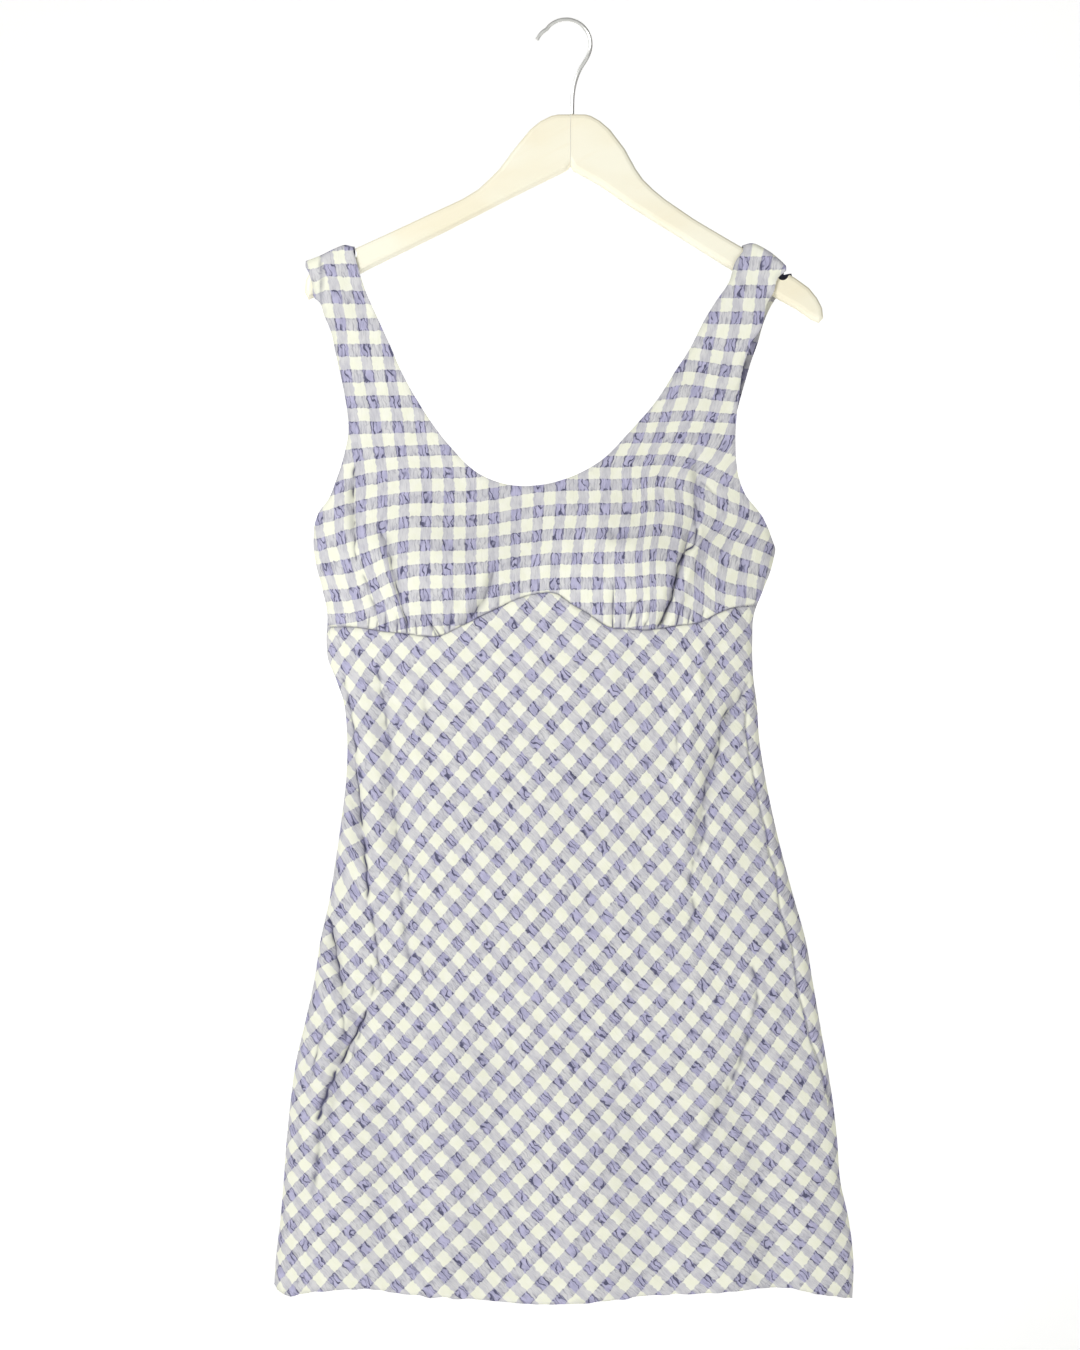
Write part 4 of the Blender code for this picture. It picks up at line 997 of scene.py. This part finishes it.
def bodice_checks(x, z, repeat, front=True):
    """How many columns and rows of checks a place is from the bodice's named check."""
    columns, rows = x - BODICE_CHECK.x, z - BODICE_CHECK.z
    up_strap = ease(*STRAP_RUN_FADE, z)
    leans = [read(STRAP_RUN, name, z) for name in ("left_lean", "right_lean")]
    rises = [read(STRAP_RUN, name, z) for name in ("left_rise", "right_rise")]
    on_left = x < BODICE_CHECK.x
    columns = columns + np.where(on_left, leans[0], -leans[1])
    arch = read(BODICE_ARCH, "rise", x)
    rows = rows - arch * (1 - up_strap) - np.where(on_left, *rises) * up_strap
    if front:
        for taken in BODICE_TAKEUPS:
            share = ease(-taken.wide, taken.wide, x - taken.x) * ease(taken.top, taken.low, z)
            columns = columns + taken.cloth * share
        for tuck in BODICE_TUCKS:
            across, _ = near_path(np.array([tuck[0:2], tuck[2:4]]), x, z)
            share = ease(-TUCK_EDGE, TUCK_EDGE, tuck.side * -across) * ease(tuck.z0, tuck.full, z)
            columns = columns + tuck.side * tuck.cloth * share
        columns, rows = drifted(columns, rows, BODICE_DRIFTS, x, z)
    return np.column_stack([columns / repeat[0], rows / repeat[1]])


def puckers(checks, height):
    """The crinkled cloth's soft puckers, which run along its columns."""
    return height * np.array([
        sum(p.share * noise.noise((u * p.across + p.begin, v * p.along, p.layer)) for p in PUCKERS)
        for u, v in checks
    ])


def wall_directions(points, faces, out, edges):
    """The direction of the wall's thickness at each point, and the faces turned to point outwards."""
    normals = face_normals(points, faces)
    if (normals * out).sum() < 0:
        faces = [face[::-1] for face in faces]
        normals = -normals
    for k, names in enumerate(edges):
        if "seam" in names:
            normals[k] = out[k]
        elif "shoulder" in names:
            normals[k] = (normals[k][0], 0, normals[k][2])
            normals[k] /= np.linalg.norm(normals[k])
    return normals, faces


def shell(name, points, normals, faces, half):
    """A wall of faces on both sides of the points, closed along its rim."""
    count = len(points)
    walls = [list(face) for face in faces] + [[i + count for i in reversed(face)] for face in faces]
    rim = [[b, a, a + count, b + count] for a, b in rim_edges(faces)]
    return mesh_object(name, np.vstack([points + normals * half, points - normals * half]), walls + rim)


def cloth_panel(name, lines, crisp, moves, side, surface, checks_at, settings, beyond=None):
    """One panel: its outline and points, their places on the surface, the wall through them, its checks."""
    outline, names = join_lines(*lines)
    inner = inner_points(outline, moves, BACK_SCALE if side > 0 else 1, crisp)
    flat, faces, numbers = triangles(outline, inner)
    edges = [names[number] if number >= 0 else set() for number in numbers]
    column, height = flat.T
    places, out = surface(column, height, side)
    moved, _, shade = moves(places[:, 0], height)
    across = flattened(column, height, side)
    checks = checks_at(across, height)
    off_sides = ease(0, SIDE_FADE, 1 - np.abs(column))
    held = off_sides * (1 - ease(*STRAP_FADE, height))
    crinkle = puckers(checks, settings.pucker / MM) * off_sides
    points = places + out * (moved * held + crinkle)[:, None]
    normals, faces = wall_directions(points, faces, out, edges)
    panel = shell(name, points, normals, faces, settings.thickness / MM / 2)
    count_checks(panel.data, checks, len(points))
    # The crease attribute holds painted shade: the dark lines of folds, creases, gathers and seams, the
    # shadows on the back strap, and a faint line along the free edges
    layer = panel.data.attributes.new("crease", "FLOAT", "POINT")
    rim = np.array([RIM_SHADE if "free" in names else 0 for names in edges])
    layer.data.foreach_set("value", np.tile(np.maximum(shade, rim), 2).astype(np.float32))
    if beyond:
        count_checks_beyond(panel.data, *beyond(across, height), len(points))
    return panel


def count_checks(mesh, checks, count):
    """Writes the UV map of checks, the same on both sides of the cloth."""
    layer = mesh.uv_layers.new(name="checks")
    corners = np.empty(len(mesh.loops), int)
    mesh.loops.foreach_get("vertex_index", corners)
    layer.data.foreach_set("uv", checks[corners % count].astype(np.float32).ravel())


def count_checks_beyond(mesh, checks, is_beyond, count):
    layer = mesh.uv_layers["checks"]
    for face in mesh.polygons:
        corners = [i % count for i in face.vertices]
        if sum(is_beyond[i] for i in corners) * 2 > len(corners):
            for loop, i in zip(face.loop_indices, corners, strict=True):
                layer.data[loop].uv = checks[i]


def mesh_object(name, points_mm, faces):
    """A smooth-shaded object from points in millimetres."""
    mesh = bpy.data.meshes.new(name)
    mesh.from_pydata([tuple(p) for p in np.asarray(points_mm) * MM], [], faces)
    mesh.shade_smooth()
    mesh.set_sharp_from_angle(angle=SHARP_ANGLE)
    obj = bpy.data.objects.new(name, mesh)
    bpy.context.scene.collection.objects.link(obj)
    return obj


def crisp_lines(creases, gathers=()):
    """The paths and widths of creases and gathers."""
    return [(curve_of(c), c.width) for c in creases] + [(gather_path(g), GATHER_WIDTH / 2) for g in gathers]


def bodice_panel(name, neck, left_armhole, right_armhole, seam, crisp, moves, side, checks_at, settings):
    """A bodice panel: two straps, the neckline, armholes, side seams and the seam under the bust."""
    seam_left, seam_right = seam[0].z, seam[-1].z
    trim = SEAM_GAP / 2
    left_edge = side_line(seam_left + trim, left_armhole[-1].z, -1, side, SIDE_STEP)
    right_edge = side_line(seam_right + trim, right_armhole[-1].z, 1, side, SIDE_STEP)
    lines = (
        ("free", strap_edge(neck, EDGE_STEP)),
        ("shoulder", shoulder_line(neck[-1].x, right_armhole[0].x)),
        ("free", strap_edge(right_armhole, EDGE_STEP)[:-1]),
        ("seam", right_edge[::-1]),
        ("seam", cross_line(seam, trim, SEAM_STEP)[-2:0:-1]),
        ("seam", left_edge),
        ("free", strap_edge(left_armhole[::-1], EDGE_STEP)[1:]),
        ("shoulder", shoulder_line(left_armhole[0].x, neck[0].x)),
    )
    return cloth_panel(name, lines, crisp, moves, side, strap_surface, checks_at, settings)


def skirt_panel(name, seam, hem, crisp, moves, side, checks_at, settings, beyond=None):
    """A skirt panel, from the seam under the bust to the hem."""
    trim = SEAM_GAP / 2
    left_edge = side_line(hem[0].z, seam[0].z - trim, -1, side, SIDE_STEP)
    right_edge = side_line(hem[-1].z, seam[-1].z - trim, 1, side, SIDE_STEP)
    hem_edge = cross_line(hem, 0, EDGE_STEP)[-2:0:-1]
    hem_edge[:, 1] += [
        HEM_WAVE * noise.noise((place / HEM_WAVE_LENGTH, side, 0.0)) for place in place_of(*hem_edge.T)
    ]
    lines = (
        ("seam", cross_line(seam, -trim, SEAM_STEP)[1:-1]),
        ("seam", right_edge[::-1]),
        ("free", hem_edge),
        ("seam", left_edge),
    )
    return cloth_panel(name, lines, crisp, moves, side, body, checks_at, settings, beyond)


class Value:
    """A number that changes over a surface. Python's operators on it add Math nodes."""

    def __init__(self, nodes, socket):
        self.nodes = nodes
        self.socket = socket

    def _with(self, operation, *others):
        """A Math node on this number and others."""
        return self.nodes.maths(operation, self, *others)

    def __add__(self, other):
        return self._with("ADD", other)

    __radd__ = __add__

    def __mul__(self, other):
        return self._with("MULTIPLY", other)

    __rmul__ = __mul__

    def __sub__(self, other):
        return self._with("SUBTRACT", other)

    def __rsub__(self, other):
        return self.nodes.maths("SUBTRACT", other, self)

    def __abs__(self):
        return self._with("ABSOLUTE")

    def larger(self, other):
        """The larger of this number and another."""
        return self._with("MAXIMUM", other)

    def step(self, low, high):
        """0 below low, 1 above high and a soft step between."""
        return self.nodes.add(
            "ShaderNodeMapRange", {"interpolation_type": "SMOOTHSTEP"},
            {"Value": self, "From Min": low, "From Max": high},
        )


class Nodes:
    """A new material and its nodes."""

    def __init__(self, name):
        self.material = bpy.data.materials.new(name)
        self.material.use_nodes = True
        self.tree = self.material.node_tree
        self.shader = self.tree.nodes["Principled BSDF"]

    def put(self, socket, value):
        """Links or sets one socket."""
        if isinstance(value, Value):
            self.tree.links.new(value.socket, socket)
        elif socket.type == "RGBA":
            socket.default_value = (*value, 1.0)
        else:
            socket.default_value = value

    def add(self, kind, settings=None, sockets=None, output=0):
        """A node of this kind, with its settings set first, then its sockets. Gives one output."""
        node = self.tree.nodes.new(kind)
        for name, setting in (settings or {}).items():
            setattr(node, name, setting)
        for name, value in (sockets or {}).items():
            self.put(node.inputs[name], value)
        return Value(self, node.outputs[output])

    def maths(self, operation, *values):
        """A Math node on numbers."""
        return self.add("ShaderNodeMath", {"operation": operation}, dict(enumerate(values)))

    def mix(self, share, first, second):
        """A colour between two colours."""
        return self.add(
            "ShaderNodeMix", {"data_type": "RGBA"}, {"Factor": share, 6: first, 7: second}, output=2
        )

    def split(self, vector):
        """A vector's three numbers."""
        node = self.tree.nodes.new("ShaderNodeSeparateXYZ")
        self.put(node.inputs[0], vector)
        return [Value(self, output) for output in node.outputs]

    def object_place(self):
        """The place on the piece in its own metres."""
        return self.add("ShaderNodeTexCoord", output=3)

    def join(self, x, y, z):
        """A vector from three numbers."""
        return self.add("ShaderNodeCombineXYZ", None, {"X": x, "Y": y, "Z": z})

    def noise(self, place, scale, detail):
        """Soft noise, 0 to 1, with this many cells a unit of the place."""
        return self.add("ShaderNodeTexNoise", None, {"Vector": place, "Scale": scale, "Detail": detail})

    def noise_at(self, x, y, z, detail):
        """Soft noise with one cell a unit, at a place given as three numbers."""
        return self.noise(self.join(x, y, z), 1.0, detail)

    def finish(self, colour, roughness, height=None, distance=0.001, strength=1.0, constants=()):
        """Sets what the surface shows. Constants go on the shader's own sockets."""
        self.put(self.shader.inputs["Base Color"], colour)
        self.put(self.shader.inputs["Roughness"], roughness)
        for name, value in dict(constants).items():
            self.put(self.shader.inputs[name], value)
        if height is not None:
            bump = self.add(
                "ShaderNodeBump", None, {"Strength": strength, "Distance": distance, "Height": height}
            )
            self.put(self.shader.inputs["Normal"], bump)


def stripe(away):
    """1 on a coloured stripe, where a place is near a whole number, and 0 on the plain cloth between."""
    half = STRIPE_SHARE / 2
    return 1 - away.step(half - STRIPE_EDGE, half + STRIPE_EDGE)


def gingham(settings):
    """Crinkled cotton in cream with lavender stripes both ways, which cross in darker checks."""
    nodes = Nodes("crinkled_gingham")
    checks = nodes.add("ShaderNodeUVMap", {"uv_map": "checks"})
    u, v, _ = nodes.split(checks)
    # The stripes' edges waver
    u_waver = nodes.noise_at(u * 5, v * 5, 0.0, 1.5) - 0.5
    v_waver = nodes.noise_at(u * 5, v * 5, 11.0, 1.5) - 0.5
    u, v = u + u_waver * 0.16, v + v_waver * 0.14
    column_away, row_away = (nodes.maths("PINGPONG", count, 0.5) for count in (u, v))
    column, row = stripe(column_away), stripe(row_away)
    crossing = column * row
    coloured = column + row - crossing

    # Fine ribs run along the columns, and the crinkles' grooves run aslant through the stripes; in places
    # they show as dark strokes of painted shade
    ribs = nodes.noise_at(u * 15, v * 2.0, 0.0, 1.5)
    wander = nodes.noise_at(u * 2.2, v * 2.2, 7.0, 1.0)
    patchy = nodes.noise_at(u * 2.6, v * 2.6, 3.0, 0.0)
    lines = nodes.noise_at(u * 3.0, v * 1.6, 5.0, 0.6)
    stroke_away = nodes.maths("PINGPONG", u * 3.4 + v * 0.6 + lines * 3.0, 0.5)
    crinkle_grooves_and_shade = (1 - stroke_away.step(0.03, 0.15)) * (crossing * 0.85 + row * 0.18 + column * 0.06)
    crinkle_grooves_and_shade = crinkle_grooves_and_shade * (0.35 + lines.step(0.35, 0.55) * 0.65)
    # The stripes' own edges are drawn finely here and there
    half = STRIPE_SHARE / 2
    side_edge = (1 - abs(column_away - half + 0.02).step(0.012, 0.05)) * row * patchy.step(0.42, 0.6)
    row_edge = (1 - abs(row_away - half + 0.02).step(0.01, 0.045)) * ribs.step(0.45, 0.62)
    shade = crinkle_grooves_and_shade.larger(side_edge * 0.6).larger(row_edge * (0.2 + column * 0.4))
    # The ribs' painted shade, which is deeper on the stripes
    shade = shade + (ribs - 0.48).larger(0) * (0.14 + coloured * 0.6 + row * 0.9)

    crossed = nodes.mix(patchy.step(0.3, 0.7), settings.crossing, settings.crossing_pale)
    single = nodes.mix(wander.step(0.3, 0.7), settings.single, settings.single_pale)
    cream = nodes.mix(patchy.step(0.35, 0.75) * 0.5, settings.cream, settings.cream_pale)
    colour = nodes.mix(row, nodes.mix(column, cream, single), nodes.mix(column, single, crossed))
    # The painted shade of the crinkles and ribs, with the stripes' drawn edges, in the shade colour
    colour = nodes.mix(shade, colour, settings.stroke)
    # The crease attribute's painted shade: the dark lines of creases, folds, gathers and seams, the strap's
    # shadow, the notch and the free edges
    crease = nodes.add("ShaderNodeAttribute", {"attribute_name": "crease"}, output=2)
    colour = nodes.mix(crease * (0.55 + lines.step(0.3, 0.6) * 0.6), colour, settings.stroke)

    height = (ribs - 0.5) * -0.5 * (0.4 + coloured) - crinkle_grooves_and_shade * 0.7 - side_edge * 0.4 + (wander - 0.5) * 0.7
    nodes.finish(colour, 0.84 + (ribs - 0.5) * 0.12, height, distance=0.0009, strength=0.8,
                 constants={"Sheen Weight": 0.1, "Sheen Roughness": 0.5, "Specular IOR Level": 0.2})
    return nodes.material


def painted_wood(settings):
    """Cream paint on plain wood, with its grain and warmer patches just showing."""
    nodes = Nodes("painted_wood")
    place = nodes.object_place()
    x, y, z = nodes.split(place)
    along = x + z * 0.5
    grain = nodes.noise_at(along * 22, y * 260, (z - x * 0.5) * 260, 3.0)
    tint = nodes.noise_at(along * 9, y * 20, z * 20, 2.0)
    colour = nodes.mix(tint.step(0.35, 0.7) * 0.5, settings.wood, settings.wood_warm)
    colour = nodes.mix(grain.step(0.52, 0.75) * 0.16, colour, settings.wood_warm)
    nodes.finish(colour, 0.36 + grain * 0.12, grain, distance=0.0002, strength=0.35,
                 constants={"Specular IOR Level": 0.45})
    return nodes.material


def drawn_wire(settings):
    """Drawn steel wire with fine scratches and dull patches."""
    nodes = Nodes("drawn_wire")
    place = nodes.object_place()
    scratch = nodes.noise(place, 900.0, 2.0)
    dull = nodes.noise(place, 60.0, 2.0)
    colour = nodes.mix(dull.step(0.35, 0.7), settings.wire, settings.wire_dull)
    nodes.finish(colour, 0.24 + dull * 0.16, scratch, distance=0.0001, strength=0.25,
                 constants={"Metallic": 0.55})
    return nodes.material


def stage_finish(name, colour, glow):
    """A plain surface with a faint glow, for the floor and backdrop."""
    nodes = Nodes(name)
    place = nodes.object_place()
    mottle = nodes.noise(place, 3.0, 2.0)
    nodes.finish(colour, 0.9 + (mottle - 0.5) * 0.1,
                 constants={"Emission Color": colour, "Emission Strength": glow})
    return nodes.material


def length_setting(name, description, default):
    """A setting in metres."""
    return FloatProperty(name=name, description=description, default=default, unit="LENGTH")


def power_setting(name, description, default):
    """A setting in watts."""
    return FloatProperty(name=name, description=description, default=default, unit="POWER")


def colour_setting(name, description, default):
    """A colour setting."""
    return FloatVectorProperty(name=name, description=description, default=default, size=3, subtype="COLOR")


class DressSettings(bpy.types.PropertyGroup):
    """Sizes and colours that a user would change."""

    thickness: length_setting("Cloth thickness", "Thickness of the cotton", 0.0008)
    pucker: length_setting("Puckers", "Height of the cloth's soft puckers", 0.0009)
    column_repeat: length_setting(
        "Column repeat", "Width of one check and one gap across the cloth", 0.0191
    )
    row_repeat: length_setting("Row repeat", "Height of one check and one gap along the cloth", 0.0212)
    cream: colour_setting("Cream", "Plain cloth between the stripes", (0.845, 0.85, 0.705))
    cream_pale: colour_setting("Pale cream", "The cream's paler patches", (0.875, 0.875, 0.785))
    single: colour_setting("Stripe", "One stripe over the plain cloth", (0.57, 0.565, 0.60))
    single_pale: colour_setting("Pale stripe", "The single stripe's paler patches", (0.66, 0.655, 0.66))
    crossing: colour_setting("Crossing", "Where two stripes cross", (0.415, 0.405, 0.565))
    crossing_pale: colour_setting("Pale crossing", "The crossings' paler patches", (0.50, 0.485, 0.66))
    # The colour of all the cloth's painted shade, and of the stripes' drawn edges
    stroke: colour_setting("Crinkle shade", "The dark lines in the crinkled stripes", (0.10, 0.10, 0.17))
    wood: colour_setting("Wood", "The hanger's cream paint", (0.93, 0.90, 0.74))
    wood_warm: colour_setting("Warm wood", "The paint where the wood shows through", (0.87, 0.78, 0.55))
    wire: colour_setting("Wire", "The hook's bright wire", (0.72, 0.72, 0.69))
    wire_dull: colour_setting("Dull wire", "The wire's dull patches", (0.52, 0.52, 0.50))
    camera_away: length_setting("Camera distance", "From the hanger's plane to the camera", 1.5)
    key_power: power_setting("Main light", "Power of the soft light at the upper left", 33.0)
    fill_power: power_setting("Fill light", "Power of the soft light at the right", 8.0)
    surround: FloatProperty(name="Surround", description="Strength of the light from all round", default=0.16)


def settings_of(context):
    """The settings that the operators read."""
    return context.scene.dress


def repeat_of(settings):
    """How many millimetres the cloth repeats over, across its columns and its rows of checks."""
    return settings.column_repeat / MM, settings.row_repeat / MM


def hang(piece, node, settings):
    material = bpy.data.materials.get("crinkled_gingham") or gingham(settings)
    piece.data.materials.append(material)
    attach(piece, "root")
    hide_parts(node)


class DRESS_OT_bodice(bpy.types.Operator):
    """Makes the bodice's front and back panels with their straps"""

    bl_idname = "dress.bodice"
    bl_label = "Bodice"

    def execute(self, context):
        settings = settings_of(context)
        repeat = repeat_of(settings)
        front = bodice_panel("bodice_front_cloth", NECK_FRONT, ARMHOLE_FRONT_LEFT, ARMHOLE_FRONT_RIGHT,
                             SEAM_FRONT, crisp_lines(BODICE_FRONT_CREASES, GATHERS), bodice_front_moves, -1,
                             lambda x, z: bodice_checks(x, z, repeat), settings)
        back = bodice_panel("bodice_back_cloth", NECK_BACK, ARMHOLE_BACK_LEFT, ARMHOLE_BACK_RIGHT,
                            SEAM_BACK, crisp_lines(BODICE_BACK_CREASES), bodice_back_moves, 1,
                            lambda x, z: bodice_checks(x, z, repeat, front=False), settings)
        hang(front, "bodice_front", settings)
        hang(back, "bodice_back", settings)
        return {"FINISHED"}


class DRESS_OT_skirt(bpy.types.Operator):
    """Makes the skirt's front and back panels, which hang from the bodice"""

    bl_idname = "dress.skirt"
    bl_label = "Skirt"

    def execute(self, context):
        settings = settings_of(context)
        repeat = repeat_of(settings)

        def back_checks(x, z):
            return skirt_checks(x, z, repeat, mirrored=True)

        def beyond_the_seam(x, z):
            across, fade = side_seam(x, z)
            return back_checks(x, z), (across > 0) & (fade > 0.5)

        front = skirt_panel("skirt_front_cloth", SEAM_FRONT, HEM_FRONT, crisp_lines(SKIRT_FRONT_CREASES),
                            skirt_front_moves, -1, lambda x, z: skirt_checks(x, z, repeat), settings,
                            beyond_the_seam)
        back = skirt_panel("skirt_back_cloth", SEAM_BACK, HEM_BACK, crisp_lines(SKIRT_BACK_CREASES),
                           skirt_back_moves, 1, back_checks, settings)
        hang(front, "skirt_front", settings)
        hang(back, "skirt_back", settings)
        return {"FINISHED"}


class DRESS_OT_hanger(bpy.types.Operator):
    """Finishes the hanger's wooden arms and its wire hook"""

    bl_idname = "dress.hanger"
    bl_label = "Hanger"

    def execute(self, context):
        settings = settings_of(context)
        wood, wire = painted_wood(settings), drawn_wire(settings)
        for node, material, slot in (
            ("hanger_arm_left", wood, "wood"),
            ("hanger_arm_right", wood, "wood"),
            ("hanger_hook", wire, "steel"),
        ):
            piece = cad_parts[node]
            for place in piece.material_slots:
                place.material = material
        return {"FINISHED"}


class DRESS_OT_stage(bpy.types.Operator):
    """Makes the pale floor and backdrop, the soft lights and the camera"""

    bl_idname = "dress.stage"
    bl_label = "Stage"

    def execute(self, context):
        settings = settings_of(context)
        backdrop()
        soft_light("key_light", KEY_PLACE, settings.key_power, KEY_SIZE)
        soft_light("fill_light", FILL_PLACE, settings.fill_power, FILL_SIZE)
        context.scene.world = surround(settings.surround)
        context.scene.view_settings.view_transform = "Standard"
        context.scene.camera = front_camera(settings.camera_away)
        return {"FINISHED"}


def pick_edges(piece, wanted):
    """Selects, for edit mode, the edges whose ends are all wanted."""
    for edge in piece.data.edges:
        edge.select = all(wanted(piece.data.vertices[i].co) for i in edge.vertices)


def backdrop():
    """The pale floor, which sweeps up into a backdrop behind the dress."""
    bpy.ops.object.select_all(action="DESELECT")
    bpy.ops.mesh.primitive_plane_add(size=FLOOR_SIZE, location=(0, 0, FLOOR_HEIGHT))
    floor = bpy.context.object
    floor.name = floor.data.name = "floor"
    bpy.ops.object.mode_set(mode="EDIT")
    bpy.ops.mesh.select_all(action="DESELECT")
    bpy.ops.object.mode_set(mode="OBJECT")
    pick_edges(floor, lambda end: end.y > 0)
    bpy.ops.object.mode_set(mode="EDIT")
    bpy.ops.mesh.select_mode(type="EDGE")
    bpy.ops.mesh.extrude_region_move(TRANSFORM_OT_translate={"value": (0, 0, BACKDROP_HIGH)})
    bpy.ops.object.mode_set(mode="OBJECT")
    pick_edges(floor, lambda end: end.y > 0 and end.z < MM)
    bpy.ops.object.mode_set(mode="EDIT")
    bpy.ops.mesh.bevel(offset=SWEEP, segments=SWEEP_STEPS)
    bpy.ops.mesh.select_all(action="SELECT")
    bpy.ops.mesh.normals_make_consistent(inside=False)
    bpy.ops.object.mode_set(mode="OBJECT")
    bpy.ops.object.shade_smooth()
    bpy.ops.object.transform_apply(location=True, rotation=True, scale=True)
    floor.data.materials.append(stage_finish("pale_floor", PALE, FLOOR_GLOW))
    return floor


def surround(strength):
    """Even white light from all round."""
    world = bpy.data.worlds.new("surround")
    world.use_nodes = True
    background = world.node_tree.nodes["Background"]
    background.inputs["Color"].default_value = (1, 1, 1, 1)
    background.inputs["Strength"].default_value = strength
    return world


def front_camera(away):
    """The camera, level and square to the front."""
    data = bpy.data.cameras.new("camera")
    data.sensor_width = SENSOR
    data.lens = LENS
    data.clip_end = FAR_CLIP
    camera = bpy.data.objects.new("camera", data)
    camera.location = (CAMERA_X, -away, CAMERA_Z)
    camera.rotation_euler = (math.pi / 2, 0, 0)
    bpy.context.scene.collection.objects.link(camera)
    return camera


def soft_light(name, place, watts, size):
    """A square soft light that looks at the dress."""
    data = bpy.data.lights.new(name, "AREA")
    data.energy = watts
    data.size = size
    light = bpy.data.objects.new(name, data)
    light.location = place
    aim = Vector((CAMERA_X, 0, CAMERA_Z)) - light.location
    light.rotation_euler = aim.to_track_quat("-Z", "Y").to_euler()
    bpy.context.scene.collection.objects.link(light)


class DRESS_PT_panel(bpy.types.Panel):
    """Lists the dress's pieces in the sidebar"""

    bl_label = "Dress"
    bl_idname = "DRESS_PT_panel"
    bl_space_type = "VIEW_3D"
    bl_region_type = "UI"
    bl_category = "Dress"

    def draw(self, context):
        layout = self.layout
        for operator in OPERATORS:
            layout.operator(operator.bl_idname)
        for name in DressSettings.__annotations__:
            layout.prop(settings_of(context), name)


OPERATORS = (DRESS_OT_bodice, DRESS_OT_skirt, DRESS_OT_hanger, DRESS_OT_stage)
CLASSES = (DressSettings, *OPERATORS, DRESS_PT_panel)


def register():
    """Adds the settings, the operators and the panel to Blender."""
    for one in CLASSES:
        bpy.utils.register_class(one)
    bpy.types.Scene.dress = PointerProperty(type=DressSettings)


def unregister():
    """Takes them away again."""
    del bpy.types.Scene.dress
    for one in reversed(CLASSES):
        bpy.utils.unregister_class(one)


def main():
    """Builds the dress and its stage."""
    register()
    bpy.ops.dress.bodice()
    bpy.ops.dress.skirt()
    bpy.ops.dress.hanger()
    bpy.ops.dress.stage()


if __name__ == "__main__":
    main()
